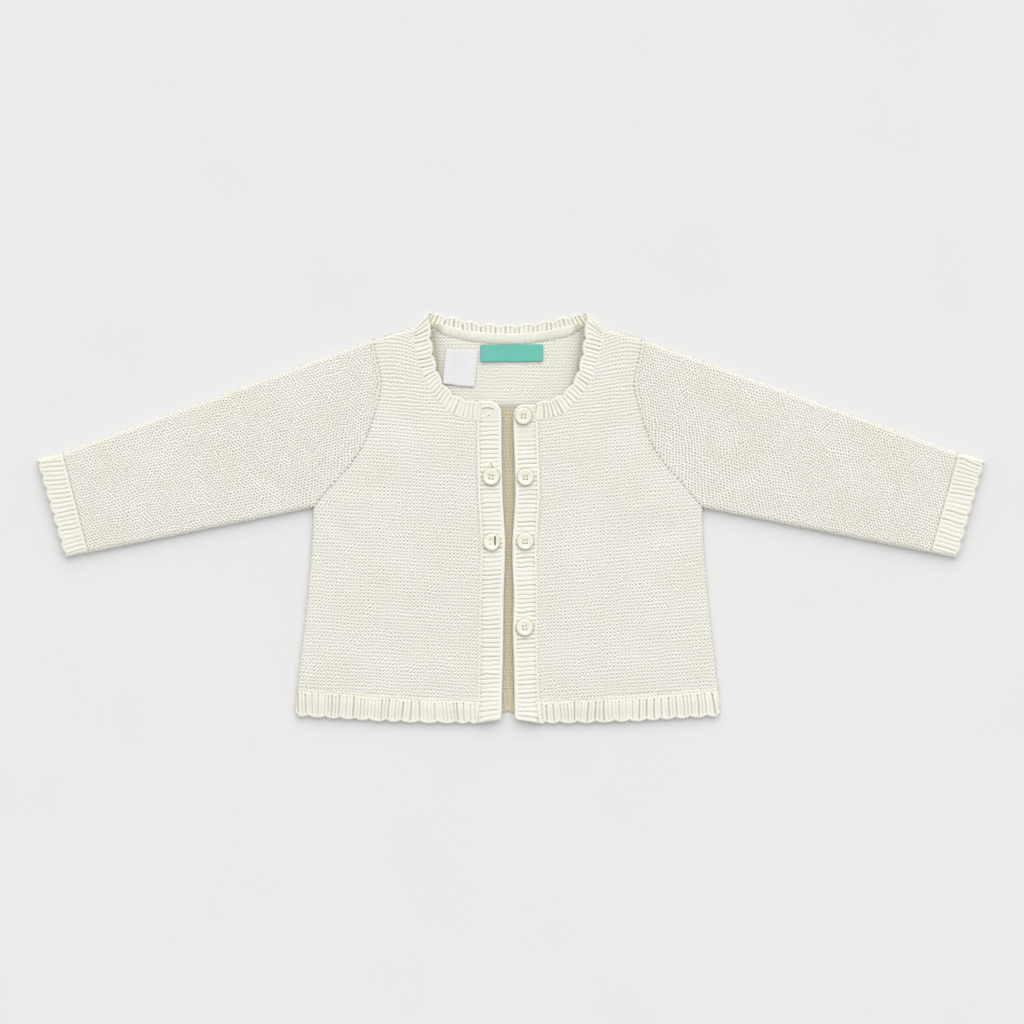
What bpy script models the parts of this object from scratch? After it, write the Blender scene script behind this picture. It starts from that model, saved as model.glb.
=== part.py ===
"""Knitted baby cardigan, laid flat on its back with the front edges almost meeting.

Millimetres here, metres in the finished meshes. Before the last step the frame is the garment's own:
"out" is the distance from the centre line, "up" the distance above the lowest hem, and z is height.
+X is the wearer's left, +Y runs from hem to neck, and the back rests on z = 0. Two layers of knit
lie on each other and meet round soft folds at the shoulders, the sides and the sleeves' edges.
"""

import math

import bmesh
import bpy
from mathutils import Vector

MM = 0.001

# Thicknesses and heights
WALL = 2.0  # knitted cloth
AIR = 2.1  # hollow between the two layers
TOP = 2 * WALL + AIR  # upper face of the upper layer
FOLD = TOP / 2  # outer radius of every fold
SEAM = 0.3  # gap between pieces that are sewn together
PUFF = 0.9  # how far the upper layer lifts in the middle of a panel or sleeve
RIB = 0.6  # height of a rib over its grooves
EDGE_DROP = 0.7  # how far a free edge rounds down
SEAM_DROP = 0.3  # how far a rib band dips at its seam

# Grid of the panels
CURL_STEPS = 3  # columns or rows round a quarter turn at a folded edge
FRONT_COLUMNS = 6
BACK_PARTS = (0.0, 14.0, 28.0, 45.0, 65.8, 73.0)  # how far out the back's columns meet its upper edge
ARMHOLE_GAP = 1.2 * SEAM  # measured sideways, so that it is still wide where the seam slants

# Rib bands
BAND_CROSS = (0.0, 0.12, 0.8, 1.0)  # rows of a band from its seam to its free edge
NECK_FOLD_CROWN = 0.75
NECK_CROSS = (
    # share of the band's depth, rib, dip
    (0.0, 0.0, SEAM_DROP),
    (0.4, 1.0, 0.0),
    (1.0, 1.0, SEAM_DROP),
)
HEM_RIB = 2.9
PLACKET_RIB = 3.5
RIBS_PER_NECK_SCALLOP = 4
RIBS_PER_CUFF_SCALLOP = 3
SCALLOP = 1.9  # depth of the notch between two scallops
SCALLOP_ROUNDNESS = 0.55
NECK_SCALLOPS_FRONT = 7
NECK_SCALLOPS_BACK = 9
CUFF_SCALLOPS = 16
BACK_HEM_SCALLOPS = 24

# Button bands: the height above the hem, and how far out the middle of each band lies there
PLACKET_WIDTH = 15.2
PLACKET_BOTTOM = 2.8
ROLL = 2.6  # smooth rolled edge along the opening
PLACKET_WAVE = (
    # height, left, right
    (0.0, 12.6, 12.0),
    (44.0, 11.8, 10.9),
    (66.0, 11.1, 10.6),
    (88.0, 11.9, 10.5),
    (112.0, 10.9, 9.6),
    (128.0, 10.9, 9.2),
    (145.0, 12.0, 10.3),
    (160.0, 12.9, 11.1),
    (181.0, 12.5, 11.6),
    (199.0, 11.8, 11.8),
    (227.0, 11.2, 12.0),
)
PLACKET_TOP = {1: 223.6, -1: 226.2}
PLACKET_CORNER = {1: 8.0, -1: 9.0}

# Front panel up to the neck: height at the band's seam, then the side or armhole seam
FRONT_ROWS = (
    # inner_up, outer_out, outer_up
    (16.8, 147.2, 24.8),
    (44.0, 144.8, 48.0),
    (66.0, 142.2, 69.0),
    (88.0, 140.0, 90.0),
    (112.0, 138.2, 111.0),
    (128.0, 137.0, 130.0),
    (145.0, 136.2, 151.6),
    (160.0, 124.0, 166.0),
    (181.0, 111.0, 180.5),
    (199.0, 101.5, 194.5),
    (212.9, 96.0, 208.0),
)
UNDERARM_ROW = 6
# Front panel along the neck, up to the shoulder line
NECK_ROWS = (
    # seam_out, seam_up, outer_out, outer_up
    (33.0, 215.2, 92.4, 220.0),
    (42.0, 220.3, 90.0, 229.0),
    (50.0, 228.6, 88.6, 238.0),
    (56.4, 238.5, 89.6, 246.0),
    (61.6, 252.0, 91.6, 254.5),
    (64.8, 265.0, 93.0, 262.0),
    (65.8, 277.3, 93.8, 269.2),
)
# Free edge of the neckband, one row for each row of its seam
NECK_EDGE = (
    # edge_out, edge_up
    (20.6, 225.6),
    (29.5, 227.4),
    (36.8, 230.6),
    (42.0, 235.4),
    (46.6, 242.2),
    (50.2, 252.5),
    (52.6, 266.0),
    (55.0, 288.7),
)
# Back of the neck: the panel's upper edge and the band's free edge
BACK_NECK = (
    # seam_out, seam_up, edge_out, edge_up
    (0.0, 269.2, 0.0, 280.0),
    (14.0, 269.7, 14.0, 280.8),
    (28.0, 271.4, 28.0, 282.8),
    (45.0, 275.5, 42.0, 286.0),
    (65.8, 277.3, 55.0, 288.7),
)
SHOULDER_TIP = NECK_ROWS[-1][2:]
NECK_POINT = NECK_ROWS[-1][:2]

# Ends of the cuff's seam and of its free edge, upper end first
WRIST = {1: ((316.8, 188.9), (297.4, 119.6)), -1: ((312.9, 189.2), (294.9, 119.6))}
CUFF_END = {1: ((334.2, 184.6), (315.0, 116.0)), -1: ((330.0, 185.2), (310.0, 116.4))}
SLEEVE_SECTIONS = 6
SLEEVE_FOLD_STEPS = 4

# Hem: its notches, and its seam and free edge from the button band to the side
HEM_NOTCHES = (20.2, 26.8, 36.4, 49.1, 61.8, 75.0, 85.1, 97.2, 107.0, 117.3, 127.7, 139.7, 148.6)
HEM_SHAPE = (
    # out, seam_up, edge_up
    (18.0, 16.6, 0.0),
    (55.0, 17.9, 0.2),
    (92.0, 20.2, 1.6),
    (120.0, 22.4, 3.4),
    (150.0, 25.0, 5.2),
)
HEM_MIDDLE = 8.0
HEM_FOLD_CROWN = 0.6
BACK_HEM_SEAM = 24.0
BACK_HEM_EDGE = 7.6
BACK_HEM_SIDE_RISE = 0.5
BACK_HEM_FOLD_CROWN = 0.4
STEPS_PER_BACK_SCALLOP = 4

# Trims inside the back neck
TAPE_RISE = 4.0
TAPE_DROP = 3.2
TAPE_THICK = 0.9
TAPE_REACH = 56.0
TAPE_STEPS = 24
WOVEN_LABEL = {"width": 44.0, "height": 12.0, "middle": (2.8, 259.6), "turn": 0.5}
CARE_LABEL = {"width": 22.6, "height": 25.4, "middle": (-33.2, 249.4), "turn": -5.6}
LABEL_THICK = 0.8
LABEL_WAVE = 0.2
LABEL_STEPS = 12

# Buttons
BUTTON_RADIUS = 5.9
BUTTON_THICK = 2.4
BUTTON_SIDES = 16
BUTTONS = (
    # side, height, out
    (1, 215.4, 11.0),
    (1, 172.6, 12.4),
    (1, 127.8, 12.2),
    (1, 67.6, 11.9),
    (-1, 172.9, 11.6),
    (-1, 127.2, 11.2),
)

SIDE_NAMES = {1: "left", -1: "right"}


def table_value(table, key, column):
    """Straight-line reading of one column of a table whose first column rises."""
    for low, high in zip(table, table[1:]):
        if key <= high[0] or high is table[-1]:
            part = (key - low[0]) / (high[0] - low[0])
            return low[column] + part * (high[column] - low[column])


def polyline_length(points):
    return sum((b - a).length for a, b in zip(points, points[1:]))


def along(points, fraction):
    """Point at a fraction of a polyline's length."""
    lengths = [(b - a).length for a, b in zip(points, points[1:])]
    left = fraction * sum(lengths)
    for index, length in enumerate(lengths):
        if left <= length or index == len(lengths) - 1:
            return points[index].lerp(points[index + 1], left / length)
        left -= length


def placket_middle(side, height):
    return table_value(PLACKET_WAVE, height, 1 if side > 0 else 2)


def placket_seam(side, height):
    return placket_middle(side, height) + PLACKET_WIDTH / 2


def fold_place(radius, angle):
    """Distance inwards from a fold's outermost line, and height above the floor."""
    return FOLD - radius * math.sin(angle), FOLD + radius * math.cos(angle)


def scallop(part):
    """0 at a notch and 1 over the crown, for a fraction of one scallop."""
    return math.sin(math.pi * min(max(part, 0.0), 1.0)) ** SCALLOP_ROUNDNESS


def material(name, colour, roughness, metallic=0.0, sheen=0.0):
    made = bpy.data.materials.new(name)
    made.use_nodes = True
    shader = made.node_tree.nodes["Principled BSDF"]
    shader.inputs["Base Color"].default_value = (*colour, 1.0)
    shader.inputs["Roughness"].default_value = roughness
    shader.inputs["Metallic"].default_value = metallic
    shader.inputs["Sheen Weight"].default_value = sheen
    made.diffuse_color = (*colour, 1.0)
    return made


def make_object(name, points, faces, finish):
    mesh = bpy.data.meshes.new(name)
    mesh.from_pydata([Vector(p) * MM for p in points], [], faces)
    shaped = bmesh.new()
    shaped.from_mesh(mesh)
    bmesh.ops.recalc_face_normals(shaped, faces=shaped.faces)
    if shaped.calc_volume(signed=True) < 0:
        bmesh.ops.reverse_faces(shaped, faces=shaped.faces)
    shaped.to_mesh(mesh)
    shaped.free()
    mesh.shade_smooth()
    mesh.set_sharp_from_angle(angle=math.radians(50))
    mesh.materials.append(finish)
    made = bpy.data.objects.new(name, mesh)
    bpy.context.scene.collection.objects.link(made)
    return made


def make_wall(name, outer, inner, finish, ring=False):
    """Closed wall between two grids. Each holds stations, and each station its points from seam to edge.

    The inner grid may hold fewer points in a station than the outer one. A ring's last station meets its first.
    """
    points = [p for station in outer for p in station]
    start = len(points)
    points += [p for station in inner for p in station]
    wide, narrow, count = len(outer[0]), len(inner[0]), len(outer)
    faces = []
    for j in range(count if ring else count - 1):
        k = (j + 1) % count
        a, b = j * wide, k * wide
        c, d = start + j * narrow, start + k * narrow
        for i in range(wide - 1):
            faces.append((a + i, b + i, b + i + 1, a + i + 1))
        for i in range(narrow - 1):
            faces.append((c + i, c + i + 1, d + i + 1, d + i))
        faces.append((a, c, d, b))
        faces.append((a + wide - 1, b + wide - 1, d + narrow - 1, c + narrow - 1))
    for j in () if ring else (0, count - 1):
        upper = list(range(j * wide, (j + 1) * wide))
        lower = list(range(start + j * narrow, start + (j + 1) * narrow))
        if wide == narrow:
            faces += [(a, b, d, c) for a, b, c, d in zip(upper, upper[1:], lower, lower[1:])]
        else:
            faces.append(upper + lower[::-1])
    return make_object(name, points, faces, finish)


def armhole(side):
    """Armhole seam from the shoulder tip down to the underarm."""
    rows = [row[2:] for row in reversed(NECK_ROWS)]
    rows += [row[1:] for row in reversed(FRONT_ROWS[UNDERARM_ROW:])]
    return [Vector((side * out, up)) for out, up in rows]


def layer_point(spot, height, layer):
    """A point of the upper layer (1), or the same place mirrored into the lower one (-1)."""
    rise = max(height - FOLD, SEAM / 2)
    return (spot.x, spot.y, FOLD + layer * rise)


# Front and back panels


def curl_offsets(step, amount, radius):
    """Place of a column or row near a folded edge: distance from the edge, and height."""
    angle = math.radians(90) * step / CURL_STEPS
    inwards, height = fold_place(radius, angle)
    flat = FOLD * (1 - step / CURL_STEPS)
    return amount * inwards + (1 - amount) * flat, amount * height + (1 - amount) * (FOLD + radius)


def side_curl(outer_up):
    """1 where the panel's edge is the folded side, fading to 0 at the armhole."""
    underarm = FRONT_ROWS[UNDERARM_ROW][2]
    return 1.0 if outer_up < underarm - 1 else 0.0


def panel_row(start, end, fractions, curl, radius, layer, lift):
    """Points of one row from start to the curling end. fractions place its flat columns."""
    line = end - start
    inward = -line.normalized()
    flat_end = end + inward * FOLD
    row = []
    for part in fractions:
        spot = start.lerp(flat_end, part)
        row.append(layer_point(spot, FOLD + radius + lift * math.sin(math.pi * part), layer))
    for step in range(1, CURL_STEPS + 1):
        inwards, height = curl_offsets(step, curl, radius)
        row.append(layer_point(end + inward * inwards, height, layer))
    return row


def front_outline(side):
    """Rows of the front panel's plan: seam end, outer end, and whether the outer end is a folded side."""
    rows = []
    for inner_up, outer_out, outer_up in FRONT_ROWS:
        inner = Vector((side * (placket_seam(side, inner_up) + SEAM), inner_up))
        folded = side_curl(outer_up)
        outer = Vector((side * (outer_out - (0.0 if folded else ARMHOLE_GAP)), outer_up))
        rows.append((inner, outer, folded))
    for seam_out, seam_up, outer_out, outer_up in NECK_ROWS:
        inner = Vector((side * seam_out, seam_up))
        outer = Vector((side * (outer_out - ARMHOLE_GAP), outer_up))
        rows.append((inner, outer, 0.0))
    return rows


def make_front(side, finish):
    rows = front_outline(side)
    fractions = [i / FRONT_COLUMNS for i in range(FRONT_COLUMNS + 1)]
    grids = []
    for radius in (FOLD, FOLD - WALL):
        grid = []
        for index, (inner, outer, folded) in enumerate(rows[:-1]):
            lift = PUFF * math.sin(math.pi * index / (len(rows) - 1))
            grid.append(panel_row(inner, outer, fractions, folded, radius, 1, lift))
        before, shoulder = rows[-2], rows[-1]
        for step in range(CURL_STEPS + 1):
            inwards, height = curl_offsets(step, 1.0, radius)
            ends = []
            for low, high in zip(before[:2], shoulder[:2]):
                ends.append(high + (low - high).normalized() * inwards)
            row = panel_row(ends[0], ends[1], fractions, 0.0, radius, 1, 0.0)
            grid.append([layer_point(Vector(p[:2]), height, 1) for p in row])
        grids.append(grid)
    return make_wall("front_" + SIDE_NAMES[side], grids[0], grids[1], finish)


def back_top(out):
    """Height of the back panel's upper edge: the neck curve, then the shoulder line."""
    if out <= NECK_POINT[0]:
        return table_value(BACK_NECK, out, 1)
    part = (out - NECK_POINT[0]) / (SHOULDER_TIP[0] - NECK_POINT[0])
    return NECK_POINT[1] + part * (SHOULDER_TIP[1] - NECK_POINT[1])


def back_row(outer_out, outer_up, folded, radius, turn_step=None):
    """One row right across the back. turn_step counts the rows that turn up at the shoulders."""
    underarm = FRONT_ROWS[UNDERARM_ROW][2]
    bend = max(0.0, (outer_up - underarm) / (SHOULDER_TIP[1] - underarm)) ** 2
    top_reach = SHOULDER_TIP[0] - ARMHOLE_GAP
    half = []
    for seat in BACK_PARTS:
        out = seat * (outer_out - FOLD) / (top_reach - FOLD)
        half.append((out, seat, FOLD + radius))
    for step in range(CURL_STEPS + 1):
        inwards, height = curl_offsets(step, folded, radius)
        half.append((outer_out - inwards, top_reach - inwards, height))
    for index, (out, seat, height) in enumerate(half):
        up = outer_up + bend * (back_top(seat) - SHOULDER_TIP[1])
        if turn_step is not None:
            turned = 1.0 if seat > NECK_POINT[0] + 1 else 0.0
            drop, height = curl_offsets(turn_step, turned, radius)
            up -= drop
        half[index] = (out, up, height)
    row = [(-out, up, height) for out, up, height in reversed(half[1:])] + half
    return [layer_point(Vector((out, up)), height, -1) for out, up, height in row]


def make_back(finish):
    edge_rows = FRONT_ROWS[:UNDERARM_ROW:2] + FRONT_ROWS[UNDERARM_ROW:]
    outer_rows = [(out, up, side_curl(up)) for _, out, up in edge_rows]
    outer_rows += [(out, up, 0.0) for _, _, out, up in NECK_ROWS]
    grids = []
    for radius in (FOLD, FOLD - WALL):
        grid = []
        for out, up, folded in outer_rows[:-1]:
            clear = 0.0 if folded else ARMHOLE_GAP
            grid.append(back_row(out - clear, up, folded, radius))
        out, up, _ = outer_rows[-1]
        for step in range(CURL_STEPS + 1):
            grid.append(back_row(out - ARMHOLE_GAP, up, 0.0, radius, step))
        grids.append(grid)
    return make_wall("back_panel", grids[0], grids[1], finish)


# Sleeves and cuffs


def tube_loop(stations, radius, lifts):
    """Loop of points round a flattened tube: upper layer, fold, lower layer, fold."""
    first, last = stations[0], stations[-1]
    loop = []
    for spot, lift in zip(stations[1:-1], lifts[1:-1]):
        loop.append((spot.x, spot.y, FOLD + radius + lift))
    for step in range(SLEEVE_FOLD_STEPS + 1):
        inwards, height = fold_place(radius, math.pi * step / SLEEVE_FOLD_STEPS)
        spot = last + (stations[-2] - last).normalized() * inwards
        loop.append((spot.x, spot.y, height))
    for spot in reversed(stations[1:-1]):
        loop.append((spot.x, spot.y, FOLD - radius))
    for step in range(SLEEVE_FOLD_STEPS, -1, -1):
        inwards, height = fold_place(radius, math.pi * step / SLEEVE_FOLD_STEPS)
        spot = first + (stations[1] - first).normalized() * inwards
        loop.append((spot.x, spot.y, height))
    return loop


def make_sleeve(side, finish):
    hole = armhole(side)
    lengths = [0.0]
    for a, b in zip(hole, hole[1:]):
        lengths.append(lengths[-1] + (b - a).length)
    parts = [length / lengths[-1] for length in lengths]
    top, bottom = [Vector((side * out, up)) for out, up in WRIST[side]]
    wrist = [top.lerp(bottom, part) for part in parts]
    grids = []
    for radius in (FOLD, FOLD - WALL):
        loops = []
        for section in range(SLEEVE_SECTIONS + 1):
            t = section / SLEEVE_SECTIONS
            stations = [a.lerp(b, t) for a, b in zip(hole, wrist)]
            lifts = [PUFF * math.sin(math.pi * part) * math.sin(math.pi * t) for part in parts]
            loops.append(tube_loop(stations, radius, lifts))
        grids.append([list(station) for station in zip(*loops)])
    return make_wall("sleeve_" + SIDE_NAMES[side], grids[0], grids[1], finish, ring=True)


def cuff_spot(a, b, radius, part):
    """Place on a stadium loop between two ends, at a fraction of its length, and how far it faces up."""
    width = (b - a).length
    flat = width - 2 * FOLD
    turn = math.pi * FOLD
    direction = (b - a).normalized()
    walked = part * 2 * (flat + turn)
    if walked < flat:
        spot, height, facing = a + direction * (FOLD + walked), FOLD + radius, 1.0
    elif walked < flat + turn:
        angle = (walked - flat) / FOLD
        inwards, height = fold_place(radius, angle)
        spot, facing = b - direction * inwards, (1 + math.cos(angle)) / 2
    elif walked < 2 * flat + turn:
        spot, height, facing = b - direction * (FOLD + walked - flat - turn), FOLD - radius, 0.0
    else:
        angle = math.pi - (walked - 2 * flat - turn) / FOLD
        inwards, height = fold_place(radius, angle)
        spot, facing = a + direction * inwards, (1 + math.cos(angle)) / 2
    return spot, height, facing


def rib_lift(index, row):
    """Height over the plain wall: grooves at even stations, ribs at odd ones, none at the seam."""
    if row == 0:
        return -SEAM_DROP
    lift = RIB if index % 2 else 0.0
    if row == len(BAND_CROSS) - 1:
        lift -= EDGE_DROP
    return lift


def make_cuff(side, finish):
    wrist = [Vector((side * out, up)) for out, up in WRIST[side]]
    end = [Vector((side * out, up)) for out, up in CUFF_END[side]]
    count = CUFF_SCALLOPS * RIBS_PER_CUFF_SCALLOP * 2
    outer, inner = [], []
    for index in range(count):
        part = index / count
        crown = scallop((part * CUFF_SCALLOPS) % 1.0)
        station, lining = [], []
        for row, share in enumerate(BAND_CROSS):
            facing = cuff_spot(*wrist, FOLD, part)[2]
            radius = FOLD + rib_lift(index, row) * facing
            near, height, _ = cuff_spot(*wrist, radius, part)
            far, _, _ = cuff_spot(*end, radius, part)
            reach = (far - near).length
            share = (SEAM + share * (reach - SEAM - SCALLOP * (1 - crown))) / reach
            spot = near.lerp(far, share)
            station.append((spot.x, spot.y, height))
        for share in (0.0, 1.0):
            near, height, _ = cuff_spot(*wrist, FOLD - WALL, part)
            far, _, _ = cuff_spot(*end, FOLD - WALL, part)
            reach = (far - near).length
            share = (SEAM + share * (reach - SEAM - SCALLOP * (1 - crown))) / reach
            spot = near.lerp(far, share)
            lining.append((spot.x, spot.y, height))
        outer.append(station)
        inner.append(lining)
    return make_wall("cuff_" + SIDE_NAMES[side], outer, inner, finish, ring=True)


# Flat rib bands: hem and button bands


def hem_stations():
    """Distance out and scallop crown of each station along a front hem."""
    stations = []
    for low, high in zip(HEM_NOTCHES, HEM_NOTCHES[1:]):
        steps = 2 * max(2, round((high - low) / HEM_RIB))
        for step in range(steps):
            part = step / steps
            stations.append((low + part * (high - low), scallop(part)))
    return stations


def front_hem_plan(side):
    """Stations of a front hem: how far out, crown of the scallop, and steps into the side fold."""
    edge = HEM_NOTCHES[-1]
    start = placket_seam(side, HEM_MIDDLE) + SEAM
    plan = [(start, 0.0, None)]
    plan += [(out, crown, None) for out, crown in hem_stations() if start < out < edge - FOLD]
    plan += [(edge, HEM_FOLD_CROWN, step) for step in range(CURL_STEPS + 1)]
    return plan


def hem_line(out, radius, crown, step):
    """Place of a front hem's station at a wall radius: how far out, height, seam and free edge."""
    height = FOLD + radius
    if step is not None:
        inwards, height = curl_offsets(step, 1.0, radius)
        out -= inwards
    seam_up = table_value(HEM_SHAPE, out, 1) - SEAM
    edge_up = table_value(HEM_SHAPE, out, 2) + SCALLOP * (1 - crown)
    return out, height, seam_up, edge_up


def make_front_hem(side, finish):
    outer, inner = [], []
    for index, (out, crown, step) in enumerate(front_hem_plan(side)):
        facing = math.cos(math.radians(90) * (step or 0) / CURL_STEPS)
        reach, height, seam_up, edge_up = hem_line(out, FOLD, crown, step)
        station = []
        for row, share in enumerate(BAND_CROSS):
            spot = Vector((side * reach, seam_up + share * (edge_up - seam_up)))
            station.append(layer_point(spot, height + rib_lift(index, row) * facing, 1))
        reach, height, seam_up, edge_up = hem_line(out, FOLD - WALL, crown, step)
        lining = [layer_point(Vector((side * reach, up)), height, 1) for up in (seam_up, edge_up)]
        outer.append(station)
        inner.append(lining)
    return make_wall("hem_front_" + SIDE_NAMES[side], outer, inner, finish)


def make_back_hem(finish):
    edge = HEM_NOTCHES[-1]
    flat = edge - FOLD
    count = BACK_HEM_SCALLOPS * STEPS_PER_BACK_SCALLOP
    plan = [(-1, step) for step in range(CURL_STEPS, 0, -1)]
    plan += [(0, index) for index in range(count + 1)]
    plan += [(1, step) for step in range(1, CURL_STEPS + 1)]
    outer, inner = [], []
    for end, step in plan:
        for grid, radius in ((outer, FOLD), (inner, FOLD - WALL)):
            if end:
                inwards, height = curl_offsets(step, 1.0, radius)
                out, crown = end * (edge - inwards), BACK_HEM_FOLD_CROWN
            else:
                out = flat * (2 * step / count - 1)
                height, crown = FOLD + radius, scallop(step / STEPS_PER_BACK_SCALLOP % 1.0)
            rise = BACK_HEM_SIDE_RISE * abs(out) / edge
            seam_up = BACK_HEM_SEAM + rise - SEAM
            edge_up = BACK_HEM_EDGE - rise + SCALLOP * (1 - crown)
            spots = [Vector((out, up)) for up in (seam_up, edge_up)]
            grid.append([layer_point(spot, height, -1) for spot in spots])
    return make_wall("hem_back", outer, inner, finish)


def placket_edge(side, height):
    """How far out the opening edge lies: straight, with a rounded upper corner."""
    edge = placket_middle(side, height) - PLACKET_WIDTH / 2
    corner = PLACKET_CORNER[side]
    into = height - (PLACKET_TOP[side] - corner)
    if into > 0:
        edge += corner - math.sqrt(max(corner**2 - into**2, 0.0))
    return edge


def make_placket(side, finish):
    top = PLACKET_TOP[side]
    count = 2 * round((top - PLACKET_BOTTOM) / PLACKET_RIB)
    outer, inner = [], []
    for index in range(count + 1):
        up = PLACKET_BOTTOM + (top - PLACKET_BOTTOM) * index / count
        seam = placket_seam(side, up)
        edge = placket_edge(side, up)
        roll = min(edge + ROLL, seam - ROLL)
        lift = RIB if index % 2 else 0.0
        end_drop = EDGE_DROP if index in (0, count) else 0.0
        rows = (
            (seam, -SEAM_DROP),
            (roll, lift - end_drop),
            (edge, -SEAM_DROP),
        )
        outer.append([(side * out, up, TOP + height) for out, height in rows])
        inner.append([(side * out, up, TOP - WALL) for out in (seam, edge)])
    return make_wall("placket_" + SIDE_NAMES[side], outer, inner, finish)


# Neckband, tape and labels


def neck_lines(side):
    """Seam and free edge of the neckband's front, from one button band up to the shoulder."""
    first = FRONT_ROWS[-1][0]
    seam = [Vector((placket_seam(side, first) + SEAM, first))]
    seam += [Vector(row[:2]) for row in NECK_ROWS]
    edge = [Vector(row) for row in NECK_EDGE]
    return seam, edge


def neck_half(side):
    """Stations of half a neckband: seam spot, edge spot, fold angle, crown of the scallop."""
    seam, edge = neck_lines(side)
    stations = []
    per_scallop = 2 * RIBS_PER_NECK_SCALLOP
    steps = NECK_SCALLOPS_FRONT * per_scallop
    flat = 1 - FOLD / polyline_length(seam)
    for index in range(steps):
        part = index / steps * flat
        crown = scallop(index / per_scallop % 1.0)
        stations.append((along(seam, part), along(edge, part), 0.0, crown))
    back_seam = [Vector(row[:2]) for row in reversed(BACK_NECK)]
    back_edge = [Vector(row[2:]) for row in reversed(BACK_NECK)]
    for step in range(2 * CURL_STEPS + 1):
        angle = math.radians(90) * step / CURL_STEPS
        lines = (seam[::-1], edge[::-1]) if step <= CURL_STEPS else (back_seam, back_edge)
        stations.append((*lines, angle, NECK_FOLD_CROWN))
    steps = NECK_SCALLOPS_BACK * RIBS_PER_NECK_SCALLOP
    start = FOLD / polyline_length(back_seam)
    for index in range(1, steps + 1):
        part = start + (1 - start) * index / steps
        crown = scallop(index / per_scallop % 1.0)
        stations.append((along(back_seam, part), along(back_edge, part), math.pi, crown))
    return stations


def neck_point(station, side, radius, share):
    """Point of one station at a wall radius, at a share of the way from seam to free edge."""
    seam, edge, angle, crown = station
    inwards, height = fold_place(radius, angle)
    if isinstance(seam, list):  # round the shoulder fold, both ends follow their own lines inwards
        seam = seam[0] + (seam[1] - seam[0]).normalized() * inwards
        edge = edge[0] + (edge[1] - edge[0]).normalized() * inwards
    across = (edge - seam).normalized()
    seam = seam + across * SEAM
    edge = edge - across * SCALLOP * (1 - crown)
    spot = seam.lerp(edge, share)
    return (side * spot.x, spot.y, height)


def make_neckband(finish):
    grids = {}
    for side in (1, -1):
        outer, inner = [], []
        for index, station in enumerate(neck_half(side)):
            upper = (1 + math.cos(station[2])) / 2
            wall, lining = [], []
            for share, rib, dip in NECK_CROSS:
                lift = rib * RIB * (index % 2)
                wall.append(neck_point(station, side, FOLD + (lift - dip) * upper, share))
                lining.append(neck_point(station, side, FOLD - WALL - lift * (1 - upper), share))
            outer.append(wall)
            inner.append(lining)
        grids[side] = (outer, inner)
    whole = [left + right[-2::-1] for left, right in zip(grids[1], grids[-1])]
    return make_wall("neckband", whole[0], whole[1], finish)


def make_tape(finish):
    outer, inner = [], []
    low = WALL + RIB + SEAM
    for index in range(TAPE_STEPS + 1):
        out = TAPE_REACH * (2 * index / TAPE_STEPS - 1)
        seam = table_value(BACK_NECK, abs(out), 1)
        rows = [(out, seam - TAPE_DROP), (out, seam + TAPE_RISE)]
        outer.append([(*spot, low + TAPE_THICK) for spot in rows])
        inner.append([(*spot, low) for spot in rows])
    return make_wall("neck_tape", outer, inner, finish)


def make_label(name, sizes, finish):
    turn = math.radians(sizes["turn"])
    middle = Vector(sizes["middle"])
    sideways = Vector((math.cos(turn), math.sin(turn)))
    upwards = Vector((-math.sin(turn), math.cos(turn)))
    outer, inner = [], []
    for index in range(LABEL_STEPS + 1):
        across = sizes["width"] * (index / LABEL_STEPS - 0.5)
        wave = LABEL_WAVE * (1 + math.sin(1.3 * index)) / 2
        spots = []
        for half in (-0.5, 0.5):
            up = sizes["height"] * half + (wave if half < 0 else 0.0)
            spots.append(middle + sideways * across + upwards * up)
        outer.append([(*spot, WALL + SEAM + LABEL_THICK + wave) for spot in spots])
        inner.append([(*spot, WALL + SEAM + wave) for spot in spots])
    return make_wall(name, outer, inner, finish)


# Buttons


def make_button(name, side, up, out, finish):
    """Turned disc with a raised rim and a sunk middle."""
    base = TOP + RIB + SEAM
    profile = (
        # share of the radius, share of the thickness
        (0.8, 0.0),
        (1.0, 0.45),
        (0.95, 0.9),
        (0.84, 1.0),
        (0.38, 0.8),
        (0.28, 0.5),
    )
    points, faces = [], []
    for radius, height in profile:
        for corner in range(BUTTON_SIDES):
            angle = 2 * math.pi * corner / BUTTON_SIDES
            reach = BUTTON_RADIUS * radius
            x = side * out + reach * math.cos(angle)
            points.append((x, up + reach * math.sin(angle), base + BUTTON_THICK * height))
    for ring in range(len(profile) - 1):
        for corner in range(BUTTON_SIDES):
            after = (corner + 1) % BUTTON_SIDES
            a, b = ring * BUTTON_SIDES, (ring + 1) * BUTTON_SIDES
            faces.append((a + corner, a + after, b + after, b + corner))
    faces.append(tuple(range(BUTTON_SIDES))[::-1])
    last = (len(profile) - 1) * BUTTON_SIDES
    faces.append(tuple(range(last, last + BUTTON_SIDES)))
    return make_object(name, points, faces, finish)


def centre_on_floor(pieces):
    """Put the origin under the middle of the footprint."""
    corners = [piece.matrix_world @ vertex.co for piece in pieces for vertex in piece.data.vertices]
    middle_x = (min(c.x for c in corners) + max(c.x for c in corners)) / 2
    middle_y = (min(c.y for c in corners) + max(c.y for c in corners)) / 2
    for piece in pieces:
        piece.location = (-middle_x, -middle_y, 0.0)


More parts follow.
